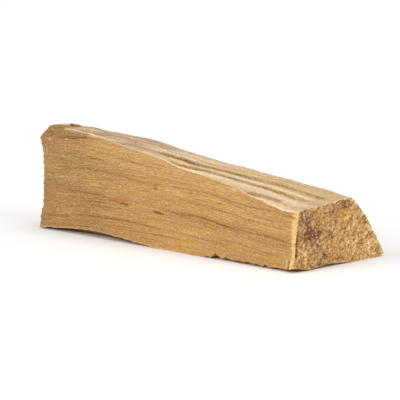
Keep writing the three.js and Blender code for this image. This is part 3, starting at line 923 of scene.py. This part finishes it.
def saw_tear(depth, height):
    """How deep the saw tore the fibres of an end at a point, in millimetres."""
    lengthwise = depth * math.cos(STROKE_LEAN) + height * math.sin(STROKE_LEAN)
    sideways = height * math.cos(STROKE_LEAN) - depth * math.sin(STROKE_LEAN)
    tear = TEAR_MEAN + fibres(SAW_STROKES, lengthwise, sideways) + fibres(SAW_PITS, depth, height)
    return np.clip(tear, 0, TEAR_DEEPEST)


def scallops(depth, height, thick_end):
    """How deep the marks of the saw's single teeth are, which only the thick end has."""
    teeth = (height + SCALLOPS["lean"] * depth) / SCALLOPS["pitch"]
    marks = np.abs(np.sin(np.pi * (teeth + grain_wave(SCALLOP_WANDER, depth, height))))
    under_top = ease(height, SCALLOPS["top"], SCALLOPS["top"] - SCALLOPS["fade_out"])
    fading = ease(height, 0, SCALLOPS["fade_in"]) * under_top
    return np.where(thick_end, SCALLOPS["deep"] * fading * marks, 0)


sample = saw_tear(*np.meshgrid(np.arange(0, BASE_DEPTH[1], 0.25), np.arange(0, 25, 0.25)))
print(f"saw cut: {sample.mean():.2f} mm torn on average, {sample.max():.2f} mm at most")

# %% The open joint behind the lip
# At the thin end a joint has opened behind the broken lip. It opens up between the two heights of its foot,
# and closes again between the two of its top. It is painted brown inside, as painted shade.
CREVICE = {"from_front": 0.45, "half_width": 0.5, "deep": 0.5, "dark": 1.6}
CREVICE_FOOT = (2.8, 3.8)
CREVICE_TOP = (8.5, 10.5)


def crevice(from_front, height):
    """0 away from the open joint behind the broken lip, 1 in the middle of it."""
    off = np.abs(from_front - CREVICE["from_front"]) / CREVICE["half_width"]
    return np.maximum(0, 1 - off) * ease(height, *CREVICE_FOOT) * (1 - ease(height, *CREVICE_TOP))


print("the open joint is", CREVICE["deep"], "mm deep")

# %% Patches of resin, sap and bleached wood
def patches_at(patches, depth, height):
    """1 in the middle of a soft round patch, fading outwards."""
    total = 0
    for back, up, radius in patches:
        total = total + np.exp(-((depth - back) ** 2 + (height - up) ** 2) / radius**2)
    return np.clip(total, 0, 1)


# Patches of the ends, each as depth, height and radius
RESIN_PATCHES = [
    (3.4, 11.8, 2.0), (7.9, 8.9, 1.7), (5.4, 9.6, 2.2), (4.6, 7.6, 1.7), (6.9, 5.0, 1.6), (16.6, 14.0, 1.5),
    (11.6, 8.0, 1.4), (12.0, 12.4, 1.0), (9.8, 2.6, 1.2),
]
GOLD_PATCHES = [(8.8, 10.7, 1.1), (12.5, 4.2, 1.8), (17.0, 11.0, 2.0)]
BLEACHED_PATCHES = [
    (22.5, 5.2, 3.4), (18.2, 8.8, 2.4), (3.0, 4.2, 1.8), (8.2, 6.6, 1.2), (24.8, 3.0, 2.4),
    (17.5, 3.0, 1.8),
]
BLEACHED_RIM = 1.8  # the rim towards the back is paler over this width
print(len(RESIN_PATCHES), "patches of resin,", len(GOLD_PATCHES), "of sap,", len(BLEACHED_PATCHES), "pale")

# %% [markdown]
# ## One closed skin
#
# The long sides are laid out as one belt of squares round the stick: the last column of one side is the
# first column of the next, so no seam has to be closed afterwards. Rows are closer together near the
# ends, where the rims need finer shapes.
#
# Each end is a patch stretched between its four sides, a surface known as a Coons patch: it blends the
# opposite edges and so fits any four curves that meet at their corners.

# %% How the columns are spread
START_SPACING = 0.55  # how wide the first columns are, where they are denser, as a share of an even one


def evenly(share):
    """Columns at even distances."""
    return share


def denser_at_start(share):
    """Columns that lie closer together at the start of a side."""
    return share * lerp(START_SPACING, 1, share)


def denser_at_end(share):
    """Columns that lie closer together at the end of a side."""
    return 1 - denser_at_start(1 - share)


print("columns that are denser at the start:", denser_at_start(np.linspace(0, 1, 5)).round(2))

# %% Rows and columns
END_ZONE = 4.0
END_ROWS = 17
MIDDLE_ROWS = 150


def no_marks(x, t):
    """The bottom has no measures of its own."""
    return {}


SIDES = [
    {"shape": front_side, "marks": front_marks, "columns": 104, "spread": evenly},
    {"shape": edge_side, "marks": edge_marks, "columns": 12, "spread": evenly},
    {"shape": top_side, "marks": top_marks, "columns": 84, "spread": denser_at_start},
    {"shape": back_side, "marks": back_marks, "columns": 116, "spread": evenly},
    {"shape": bottom_side, "marks": no_marks, "columns": 84, "spread": denser_at_end},
]
MEASURES = [
    "split", "old", "groove", "pale", "brown", "warm", "faded", "dull", "fresh", "rubbed",
    "sawn", "torn", "resin", "gold", "bleached",
]
LAYER = 20.0  # keeps the grain patterns of two sides apart

stations = np.concatenate([
    np.linspace(THICK_END, THICK_END + END_ZONE, END_ROWS, endpoint=False),
    np.linspace(THICK_END + END_ZONE, THIN_END - END_ZONE, MIDDLE_ROWS, endpoint=False),
    np.linspace(THIN_END - END_ZONE, THIN_END, END_ROWS + 1),
])
around = sum(side["columns"] for side in SIDES)
print("rows:", len(stations), "and columns round the stick:", around)

# %% The belt of points
belt = np.zeros((len(stations), around, 3))
patches = []
first_column = 0
for number, side in enumerate(SIDES):
    spread = side["spread"](np.linspace(0, 1, side["columns"] + 1))
    x, t = np.meshgrid(stations, spread, indexing="ij")
    shape = side["shape"](x, t)
    depth, height = shape["depth"], shape["height"]
    near_end = ease(np.abs(x), THIN_END - RIM_WIDTH, THIN_END)
    tear = saw_tear(depth, height) + scallops(depth, height, x < 0)
    torn_x = x - np.sign(x) * RIM_SHARE * tear * near_end
    columns = first_column + np.arange(side["columns"])
    belt[:, columns] = np.stack([torn_x, depth, height], axis=2)[:, :-1]
    points = np.arange(len(stations))[:, None] * around + np.append(columns, columns[-1] + 1) % around
    along_grain = np.stack([x, shape["across"], 0 * x + number * LAYER], axis=2)
    patches.append({"points": points, "measures": {"grain": along_grain, **side["marks"](x, t)}})
    first_column += side["columns"]
print("belt:", belt.shape[0], "rows of", belt.shape[1], "points")

# %% A patch between four edges
LEFT_COLUMNS = SIDES[0]["columns"] + SIDES[1]["columns"]  # the front and the worn edge
TOP_COLUMNS = SIDES[2]["columns"]


def coons(left, right, bottom, top):
    """A surface between four edges: rows go up from bottom to top, columns from left to right."""
    up = np.linspace(0, 1, len(left))[:, None, None]
    across = np.linspace(0, 1, len(bottom))[None, :, None]
    sideways = lerp(left[:, None], right[:, None], across)
    upward = lerp(bottom[None], top[None], up)
    flat = lerp(lerp(left[0], right[0], across), lerp(left[-1], right[-1], across), up)
    return sideways + upward - flat


def rim_edges(row):
    """The numbers of the belt's points round one end, as its left, right, bottom and top edge."""
    corner = LEFT_COLUMNS + TOP_COLUMNS
    left = np.arange(LEFT_COLUMNS + 1)
    top = np.arange(LEFT_COLUMNS, corner + 1)
    right = np.arange(corner + LEFT_COLUMNS, corner - 1, -1)
    bottom = np.arange(around, corner + LEFT_COLUMNS - 1, -1) % around
    return [edge + row * around for edge in (left, right, bottom, top)]


print("points on the four edges of an end:", [len(edge) for edge in rim_edges(0)])

# %% The two sawn ends
RIM_STEPS = 4  # over so many squares the end sinks from the rim's depth to its full depth
END_LAYER = 6


def sawn_end(row, outward, next_point):
    """The points, their numbers and the measures of the end at a row of the belt."""
    flat_belt = belt.reshape(-1, 3)
    edges = rim_edges(row)
    surface = coons(*[flat_belt[edge] for edge in edges])
    depth, height = surface[..., 1], surface[..., 2]
    rows, columns = depth.shape
    up = np.minimum(np.arange(rows), rows - 1 - np.arange(rows))[:, None]
    across = np.minimum(np.arange(columns), columns - 1 - np.arange(columns))[None, :]
    inside = ease(np.minimum(up, across), 0, RIM_STEPS)
    tear = saw_tear(depth, height)
    sunk = (tear + scallops(depth, height, outward < 0)) * lerp(RIM_SHARE, 1, inside)
    gap = crevice(depth - depth[:, :1], height) if outward > 0 else 0 * depth
    gap[:, 0] = 0
    surface[..., 0] = outward * (THIN_END - sunk - CREVICE["deep"] * gap)
    numbers = np.zeros((rows, columns), int)
    left, right, bottom, top = edges
    numbers[:, 0], numbers[:, -1], numbers[0], numbers[-1] = left, right, bottom, top
    numbers[1:-1, 1:-1] = next_point + np.arange((rows - 2) * (columns - 2)).reshape(rows - 2, columns - 2)
    pale_rim = ease(depth[:, -1:] - depth, BLEACHED_RIM, 0)
    measures = {
        "grain": np.stack([depth, height, 0 * depth + (END_LAYER + outward) * LAYER], axis=2),
        "sawn": np.ones_like(depth),
        "torn": tear / TEAR_DEEPEST,
        # Painted shade in the open joint behind the lip
        "brown": np.clip(gap * CREVICE["dark"], 0, 1),
        "resin": patches_at(RESIN_PATCHES, depth, height),
        "gold": patches_at(GOLD_PATCHES, depth, height),
        "bleached": np.maximum(patches_at(BLEACHED_PATCHES, depth, height), pale_rim),
    }
    return surface[1:-1, 1:-1].reshape(-1, 3), {"points": numbers, "measures": measures}


print("the ends sink over the first", RIM_STEPS, "squares from the rim")

# %% Both ends joined to the belt
def turned_over(patch):
    """The same patch with its rows and columns swapped, which turns its faces the other way."""
    measures = {name: values.swapaxes(0, 1) for name, values in patch["measures"].items()}
    return {"points": patch["points"].T, "measures": measures}


thick_points, thick_patch = sawn_end(0, -1, belt.shape[0] * around)
thin_points, thin_patch = sawn_end(len(stations) - 1, 1, belt.shape[0] * around + len(thick_points))
patches += [thick_patch, turned_over(thin_patch)]
skin_points = np.concatenate([belt.reshape(-1, 3), thick_points, thin_points])
print("skin:", len(skin_points), "points")

# %% [markdown]
# ## From numbers to a mesh
#
# Each patch is a grid of point numbers, and each square of the grid becomes one face. The measures are
# stored for the corners of the faces, not for the points, so that two sides that share a point can each
# keep their own value there.

# %% Make the skin
FRONT_LINE = high.y / MM - BASE_DEPTH[1]  # the rear foot of the thin end lies on the back of the CAD box
SHARP_FROM = math.radians(60)  # two faces that meet at more than this stay sharp


def square_corners(grid):
    """The values of a grid at the four corners of each of its squares, in order round the square."""
    squares = np.stack([grid[:-1, :-1], grid[1:, :-1], grid[1:, 1:], grid[:-1, 1:]], axis=2)
    return squares.reshape(-1, 4, *grid.shape[2:])


def store_measure(mesh, name, kind, values):
    """Keeps one number, or one triple, for each corner of each face."""
    attribute = mesh.attributes.new(name, kind, "CORNER")
    field = "vector" if kind == "FLOAT_VECTOR" else "value"
    attribute.data.foreach_set(field, values.ravel().astype(np.float32))


faces = np.concatenate([square_corners(patch["points"]) for patch in patches])
places = skin_points + [0, FRONT_LINE, 0]
places = np.clip(places, np.array(low) / MM, np.array(high) / MM)
skin_mesh = bpy.data.meshes.new("stick_surface")
skin_mesh.from_pydata((places * MM).tolist(), [], faces.tolist())
for name in MEASURES:
    grids = [patch["measures"].get(name, np.zeros(patch["points"].shape)) for patch in patches]
    store_measure(skin_mesh, name, "FLOAT", np.concatenate([square_corners(grid) for grid in grids]))
grains = [square_corners(patch["measures"]["grain"]) for patch in patches]
store_measure(skin_mesh, "grain", "FLOAT_VECTOR", np.concatenate(grains))
skin_mesh.shade_smooth()
skin_mesh.set_sharp_from_angle(angle=SHARP_FROM)
skin = bpy.data.objects.new("stick_surface", skin_mesh)
bpy.context.scene.collection.objects.link(skin)
skin_mesh.validate()
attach(skin, "root")
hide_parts("palo_santo_stick")
print("skin:", len(skin_mesh.polygons), "squares, twice as many triangles")

# %% [markdown]
# ## Painting wood with nodes
#
# Each side could have a material of its own, but old wood fades into split wood in the middle of a face,
# where two materials would meet in a hard line. So one material paints the whole stick. It reads the
# measures from the mesh, and it stretches noise along the stored grain, so that streaks run with the
# fibres on every side. These few helpers keep the node work readable: each adds one node and hands back
# its output, ready to be fed to the next.

# %% A material and its node helpers
wood = bpy.data.materials.new("palo_santo_wood")
wood.use_nodes = True
tree = wood.node_tree
surface_shader = tree.nodes["Principled BSDF"]


def tone(red, green, blue):
    """A colour as a screen shows it, 0 to 255, turned into the linear light that Blender works with."""
    shares = np.array([red, green, blue]) / 255
    linear = np.where(shares <= 0.04045, shares / 12.92, ((shares + 0.055) / 1.055) ** 2.4)
    return (*[float(value) for value in linear], 1.0)


def add(kind, inputs, output=0, **settings):
    """Adds a node, sets its options, and feeds its inputs with values or with other nodes' outputs."""
    made = tree.nodes.new(kind)
    for name, value in settings.items():
        setattr(made, name, value)
    for socket, value in inputs.items():
        if isinstance(value, bpy.types.NodeSocket):
            tree.links.new(value, made.inputs[socket])
        else:
            made.inputs[socket].default_value = value
    return made.outputs[output]


print("a middle grey of the screen is this much light:", round(tone(128, 128, 128)[0], 3))

# %% Short names for the nodes used most
def measure(name, output="Fac"):
    """A measure that the mesh carries."""
    return add("ShaderNodeAttribute", {}, output, attribute_name=name)


def maths(operation, a, b):
    """The result of a sum that the node's menu names."""
    return add("ShaderNodeMath", {0: a, 1: b}, operation=operation)


def times(a, b):
    """One value multiplied by another."""
    return maths("MULTIPLY", a, b)


def larger(a, b):
    """The larger of two values."""
    return maths("MAXIMUM", a, b)


def between(value, start, end, low_value=0.0, high_value=1.0):
    """low_value before start, high_value after end, and an even blend in between."""
    inputs = {"Value": value, "From Min": start, "From Max": end, "To Min": low_value, "To Max": high_value}
    return add("ShaderNodeMapRange", inputs, interpolation_type="SMOOTHSTEP")


def mixed(first, second, share):
    """The first colour, turned into the second by a share from 0 to 1."""
    return add("ShaderNodeMix", {0: share, 6: first, 7: second}, 2, data_type="RGBA")


print("the empty material has", len(tree.nodes), "nodes")

# %% [markdown]
# ## Noise that follows the grain
#
# Blender's noise looks the same in all directions. Here the stored grain is divided by a length and a
# width before the noise reads it, so one helper gives everything from broad bands to hair-thin fibres. A
# shift moves a pattern to another place in the noise, so that no two layers show the same streaks.
#
# The cut fibres of the sawn ends are round, so they come from another pattern: the cells of a Voronoi
# texture, turned to lean with the saw's strokes and bent a little by noise, or they would look like beads.

# %% Streaks along the grain
STREAK_ROUGHNESS = 0.6
grain = measure("grain", "Vector")


def streaks(long, wide, shift, detail=2.0):
    """Noise from 0 to 1, stretched along the grain: long and wide are in millimetres."""
    sizes = (1 / long, 1 / wide, 1.0)
    stretched = add("ShaderNodeVectorMath", {0: grain, 1: sizes}, operation="MULTIPLY")
    moved = add("ShaderNodeVectorMath", {0: stretched, 1: (shift, shift, shift)}, operation="ADD")
    settings = {"Scale": 1.0, "Detail": detail, "Roughness": STREAK_ROUGHNESS}
    return add("ShaderNodeTexNoise", {"Vector": moved, **settings})


print("the material follows the measure", grain.node.attribute_name)

# %% Dots of cut fibres
DOT_BEND = (0.8, 0.8, 0)  # how far noise bends the dots, in cells
DOT_RIM = (0.55, 0.2)  # a dot fades in from the first distance from its middle to the second
DOT_BLEND = 0.15  # how gradually the dots of rarer cells fade out
leaning = add("ShaderNodeVectorRotate", {"Vector": grain, "Angle": -STROKE_LEAN}, rotation_type="Z_AXIS")
bends = add("ShaderNodeTexNoise", {"Vector": leaning, "Scale": 1.5, "Detail": 1.0}, "Color")


def dots(long, wide, shift, rare):
    """Soft spots that lean with the saw's strokes. The nearer rare is to 1, the fewer cells get a spot."""
    sizes = (1 / long, 1 / wide, 1.0)
    stretched = add("ShaderNodeVectorMath", {0: leaning, 1: sizes}, operation="MULTIPLY")
    moved = add("ShaderNodeVectorMath", {0: stretched, 1: (shift, shift, 0)}, operation="ADD")
    bent = add("ShaderNodeVectorMath", {0: bends, 1: DOT_BEND, 2: moved}, operation="MULTIPLY_ADD")
    cells = {"Vector": bent, "Scale": 1.0}
    distance = add("ShaderNodeTexVoronoi", cells, "Distance", voronoi_dimensions="2D")
    chance = add("ShaderNodeSeparateXYZ", {0: distance.node.outputs["Color"]}, 0)
    return times(between(distance, *DOT_RIM), between(chance, rare - DOT_BLEND, rare + DOT_BLEND))


print("the dots lean by", round(math.degrees(STROKE_LEAN)), "degrees")

# %% [markdown]
# ## The golden sides
#
# The sides are heartwood: golden tan, browner and greyer towards the thick end, with soft bands a few
# millimetres wide, thin brown grain lines, and a fine speckle of cut pores that is a little longer than
# it is wide.
#
# The finish is built up like coats of glaze. Each line lays one colour over the wood so far, by a share
# that says where it shows: streaks of noise, or a measure from the mesh, or the two multiplied. So
# streaks(38, 3.6, 1.3) is noise with streaks 38 mm long and 3.6 mm wide, and the two numbers after it say
# from which value of that noise to which the colour grows. Where two more follow, they are its weakest and
# its strongest share. All of them were set against the photograph.

# %% Golden wood
GOLD = tone(204, 158, 96)
TAN = tone(190, 145, 90)
PINK_TAN = tone(196, 147, 100)
OLIVE_GOLD = tone(200, 158, 86)
WARM_BROWN = tone(178, 122, 68)
GREY_BROWN = tone(163, 128, 83)
GRAIN_AND_SHADOW_BROWN = tone(132, 88, 44)
STRAW = tone(234, 194, 130)

golden = mixed(GOLD, TAN, between(streaks(38, 3.6, 1.3), 0.35, 0.65))
golden = mixed(golden, PINK_TAN, between(streaks(13, 2.2, 6.6), 0.5, 0.75, 0.0, 0.6))
golden = mixed(golden, OLIVE_GOLD, between(streaks(15, 2.0, 3.9), 0.45, 0.7, 0.0, 0.8))
position = add("ShaderNodeSeparateXYZ", {0: grain}, 0)
towards_thick_end = between(position, 2.0, -50.0)
patchy = between(streaks(16, 5, 4.1), 0.3, 0.7, 0.35, 1.0)
golden = mixed(golden, GREY_BROWN, times(towards_thick_end, patchy))
golden = mixed(golden, WARM_BROWN, times(measure("warm"), between(streaks(9, 1.2, 2.2), 0.3, 0.7)))
long_lines = between(streaks(34, 0.3, 7.7, 2.0), 0.55, 0.68)
long_lines = times(long_lines, between(streaks(24, 2.4, 8.8), 0.35, 0.6))
short_lines = between(streaks(9, 0.26, 5.3, 2.0), 0.56, 0.7)
golden = mixed(golden, GRAIN_AND_SHADOW_BROWN, times(long_lines, between(position, 0.0, -30.0, 0.55, 0.7)))
golden = mixed(golden, GRAIN_AND_SHADOW_BROWN, times(short_lines, 0.3))
golden = mixed(golden, STRAW, times(between(streaks(9, 0.3, 9.4, 2.0), 0.55, 0.72), 0.35))
# Painted light: the front face is painted lighter under its upper corner
golden = mixed(golden, STRAW, times(measure("faded"), 0.23))
golden = mixed(golden, GRAIN_AND_SHADOW_BROWN, times(measure("dull"), 0.17))
print("golden wood:", len(tree.nodes), "nodes")

# %% [markdown]
# ## The split top, the old surface and the sawn ends
#
# The split top is pale and silvery where the light has bleached it, and brown down in its grooves, partly
# darker torn wood and partly painted shade. The old surface is dull brown. The sawn ends are speckled: dark
# pits, light fibre ends, and blotches of dark resin; the deepest pits are painted darker, as painted shade,
# and the least torn fibre ends lighter, as a painted highlight. Each of the three is built up in coats as
# well.
#
# The top shares two measures with the golden sides. There they mean warm bands and a darker foot, and here
# they mean the strips of warmer wood and the amber part.

# %% Split wood
CREAM = tone(208, 181, 144)
SILVER = tone(190, 165, 133)
MAUVE = tone(166, 138, 112)
AMBER = tone(189, 154, 108)
GROOVE_BROWN = tone(140, 108, 64)
BLEACHED_STRIP = tone(224, 202, 168)
PEACH = tone(216, 178, 130)

pale = mixed(CREAM, SILVER, between(streaks(40, 0.8, 3.3, 2.0), 0.42, 0.6))
amber_share = times(between(streaks(34, 0.9, 9.1, 2.0), 0.54, 0.68), between(position, -8.0, 8.0, 0.0, 0.7))
pale = mixed(pale, AMBER, amber_share)
mauve_share = larger(between(position, 8.0, -14.0), between(position, 36.0, 48.0, 0.0, 0.35))
pale = mixed(pale, MAUVE, times(mauve_share, between(streaks(18, 1.6, 5.1), 0.3, 0.6, 0.2, 1.0)))
pale = mixed(pale, GROOVE_BROWN, times(between(streaks(22, 0.24, 6.2), 0.56, 0.7), 0.45))
strip_share = between(streaks(12, 0.5, 14.2, 2.0), 0.3, 0.6, 0.4, 0.85)
pale = mixed(pale, BLEACHED_STRIP, times(measure("pale"), strip_share))
pale = mixed(pale, PEACH, times(measure("warm"), 0.5))
# In and around the grooves the top is painted amber and brown: partly darker torn wood, partly painted
# shade
pale = mixed(pale, AMBER, between(measure("groove"), 0.05, 0.5, 0.0, 0.5))
pale = mixed(pale, AMBER, times(measure("dull"), 0.7))
stain_and_shade_share = between(streaks(7, 0.3, 18.4, 2.0), 0.3, 0.62, 0.3, 0.9)
pale = mixed(pale, GROOVE_BROWN, times(between(measure("groove"), 0.25, 1.0), stain_and_shade_share))
print("with split wood:", len(tree.nodes), "nodes")

# %% The old surface
OLD_BROWN = tone(154, 114, 70)
OLD_DARK = tone(112, 76, 44)
OLD_OLIVE = tone(170, 139, 95)

old = mixed(OLD_BROWN, OLD_DARK, between(streaks(7, 0.8, 8.2, 4.0), 0.48, 0.75))
old = mixed(old, AMBER, between(streaks(9, 0.6, 12.4, 3.0), 0.55, 0.7, 0.0, 0.7))
old = mixed(old, OLD_OLIVE, between(position, -46.0, -39.0, 0.0, 0.6))
print("with the old surface:", len(tree.nodes), "nodes")

# %% Sawn wood
SAWN_GOLD = tone(198, 154, 92)
SAWN_PINK = tone(176, 126, 82)
SAWN_LIGHT = tone(242, 208, 150)
SAWN_DARK = tone(92, 56, 28)
RESIN = tone(130, 86, 60)
SAP_GOLD = tone(206, 154, 68)

torn = measure("torn")
bleached = measure("bleached")
pink_share = between(streaks(2.0, 1.7, 7.5, 3.0), 0.44, 0.62, 0.15, 0.9)
sawn = mixed(SAWN_GOLD, SAWN_PINK, times(pink_share, between(bleached, 0.0, 0.8, 1.0, 0.2)))
sawn = mixed(sawn, SAP_GOLD, measure("gold"))
sawn = mixed(sawn, RESIN, times(measure("resin"), between(streaks(1.5, 1.2, 2.5, 3.0), 0.3, 0.5)))
# Darker where the saw tore deepest: painted shade in the pits, over the dots of dark pores
pits = larger(between(torn, 0.5, 0.95), larger(dots(0.9, 0.6, 4.4, 0.65), dots(1.6, 0.9, 1.7, 0.8)))
sawn = mixed(sawn, SAWN_DARK, times(pits, 0.6))
fibre_ends = larger(times(dots(0.8, 0.6, 9.9, 0.55), 0.85), dots(1.5, 0.9, 6.1, 0.7))
fibre_ends = times(fibre_ends, between(bleached, 0.0, 0.8, 0.5, 1.0))
# Lighter where the saw tore least: a painted highlight on the standing fibre ends, beside the dots of pale
# cut fibres
sawn = mixed(sawn, SAWN_LIGHT, larger(fibre_ends, between(torn, 0.2, 0.0, 0.0, 0.25)))
print("with sawn wood:", len(tree.nodes), "nodes")

# %% [markdown]
# ## Putting the finishes together
#
# The measures decide which finish shows where. Last come the marks, a fine speckle over everything, and
# the roughness and bump, which are too small to be worth real geometry.

# %% Finishes and marks
PALE_RUBBED_AND_HIGHLIGHT = tone(226, 202, 168)
FRESH = tone(248, 208, 138)
CRACK_AND_SHADOW_DARK = tone(76, 46, 26)

fresh = measure("fresh")
colour = mixed(golden, pale, measure("split"))
colour = mixed(colour, old, measure("old"))
# The rubbed measure holds rubbed wear and the pale chip, and the painted highlight on the rim over the thin
# end
colour = mixed(colour, PALE_RUBBED_AND_HIGHLIGHT, times(measure("rubbed"), between(streaks(6, 0.5, 2.8), 0.3, 0.5, 0.4, 0.9)))
colour = mixed(colour, sawn, measure("sawn"))
fresh_share = between(streaks(1.2, 0.9, 21.3, 3.0), 0.35, 0.65, 0.45, 1.0)
colour = mixed(colour, FRESH, times(fresh, fresh_share))
# The brown measure holds the wood's streaks, flecks and cracks, and also painted shadows: under the
# overhanging slope at the thick end and along its middle, in the notch and along the chip, and in the open
# joint at the thin end.
brown = measure("brown")
brown = times(brown, between(streaks(2.4, 0.5, 6.9, 2.0), 0.35, 0.6, 0.5, 1.0))
colour = mixed(colour, GRAIN_AND_SHADOW_BROWN, brown)
colour = mixed(colour, CRACK_AND_SHADOW_DARK, between(brown, 0.7, 1.0, 0.0, 0.85))
print("with the marks:", len(tree.nodes), "nodes")

# %% Speckle
SPECKLE_STRENGTH = 0.62
SCREEN_STEP = 0.545  # a step of one size on the screen grows with this power of the linear light
DARKEST = (0.01, 0.01, 0.01)


def shaded(colour, change):
    """Lightens or darkens red, green and blue by the same step, as a screen shows them."""
    step = add("ShaderNodeGamma", {"Color": colour, "Gamma": SCREEN_STEP})
    moved = add("ShaderNodeVectorMath", {0: step, 1: change, 2: colour}, operation="MULTIPLY_ADD")
    return add("ShaderNodeVectorMath", {0: moved, 1: DARKEST}, operation="MAXIMUM")


fleecy = streaks(1.5, 0.36, 11.0, 1.0)
fine = streaks(0.5, 0.28, 15.0, 1.0)
threads = streaks(9, 0.34, 17.0, 2.0)
speckle = times(between(fleecy, 0.3, 0.7, 0.86, 1.14), between(fine, 0.3, 0.7, 0.78, 1.22))
speckle = times(speckle, between(threads, 0.3, 0.7, 0.88, 1.12))
curls = between(streaks(1.1, 0.5, 19.0, 1.0), 0.3, 0.7, 0.88, 1.12)
speckle = times(speckle, between(position, 10.0, -45.0, 1.0, curls))
speckle = between(fresh, 0.0, 2.0, speckle, 1.0)
colour = shaded(colour, times(maths("SUBTRACT", speckle, 1.0), SPECKLE_STRENGTH))
print("with the speckle:", len(tree.nodes), "nodes")

# %% The finished surface
RIDGES = 0.6  # how much the long ridges and the fleece add to the bump
FLEECE = 0.5
BUMP_STRENGTH = 0.6
BUMP_HEIGHT = 0.00012  # in metres
SHINE = 0.2

height_map = maths("ADD", times(streaks(6, 0.28, 12.0, 3.0), RIDGES), times(fleecy, FLEECE))
bump = add("ShaderNodeBump", {"Height": height_map, "Strength": BUMP_STRENGTH, "Distance": BUMP_HEIGHT})
tree.links.new(colour, surface_shader.inputs["Base Color"])
tree.links.new(between(fleecy, 0.2, 0.8, 0.72, 0.92), surface_shader.inputs["Roughness"])
tree.links.new(bump, surface_shader.inputs["Normal"])
surface_shader.inputs["Specular IOR Level"].default_value = SHINE
skin_mesh.materials.append(wood)
print("wood material:", len(tree.nodes), "nodes")

# %% [markdown]
# ## Floor, light and camera
#
# The photograph is a plain product shot: a white ground, and soft light from above and from both sides.
# A large pale floor, a pale sky and three soft lamps give the same. The camera looks at the stick from
# the photograph's angle, with a long lens, so that the near end grows only slightly.

# %% The floor
def plain_material(name, grey, roughness):
    """A material with one grey and no pattern."""
    material = bpy.data.materials.new(name)
    material.use_nodes = True
    shader = material.node_tree.nodes["Principled BSDF"]
    shader.inputs["Base Color"].default_value = (grey, grey, grey, 1)
    shader.inputs["Roughness"].default_value = roughness
    return material


FLOOR_SIZE = 12.0
bpy.ops.mesh.primitive_plane_add(size=FLOOR_SIZE, location=(0, 0, 0))
floor = bpy.context.object
floor.name = "floor"
floor.data.materials.append(plain_material("floor_white", grey=0.82, roughness=0.9))
print("floor:", FLOOR_SIZE, "m square")

# %% Lamps and sky
def soft_lamp(name, direction, strength, softness):
    """A far lamp that shines from a direction. The softer it is, the more its shadows blur."""
    light = bpy.data.lights.new(name, "SUN")
    light.energy = strength
    light.angle = math.radians(softness)
    lamp = bpy.data.objects.new(name, light)
    lamp.rotation_euler = Vector(direction).to_track_quat("Z", "Y").to_euler()
    bpy.context.scene.collection.objects.link(lamp)


soft_lamp("top_lamp", (0.1, 0.05, 0.9), strength=1.65, softness=45)
soft_lamp("front_lamp", (-0.35, -0.8, 0.55), strength=1.2, softness=35)
soft_lamp("end_lamp", (0.9, 0.1, 0.45), strength=0.9, softness=35)

SKY_STRENGTH = 0.4
world = bpy.data.worlds.new("pale_sky")
world.use_nodes = True
sky = world.node_tree.nodes["Background"]
sky.inputs["Color"].default_value = (1.0, 1.0, 1.0, 1)
sky.inputs["Strength"].default_value = SKY_STRENGTH
bpy.context.scene.world = world
bpy.context.scene.view_settings.view_transform = "Standard"

# %% The camera
CAMERA_PLACE = Vector((403.6, -337.7, 92.4)) * MM
CAMERA_AIM = Vector((2.0, -2.0, 11.0)) * MM
CAMERA_ROLL = math.radians(-2.0)
CAMERA_LENS = 190.0

camera_data = bpy.data.cameras.new("camera")
camera_data.lens = CAMERA_LENS
camera_data.sensor_width = 36.0
camera_data.clip_start = 0.01
camera = bpy.data.objects.new("camera", camera_data)
looking = (CAMERA_AIM - CAMERA_PLACE).to_track_quat("-Z", "Y").to_matrix().to_4x4()
camera.matrix_world = Matrix.Translation(CAMERA_PLACE) @ looking @ Matrix.Rotation(CAMERA_ROLL, 4, "Z")
bpy.context.scene.collection.objects.link(camera)
bpy.context.scene.camera = camera
print("camera, mm:", [round(v) for v in CAMERA_PLACE / MM], "aimed at", [round(v) for v in CAMERA_AIM / MM])
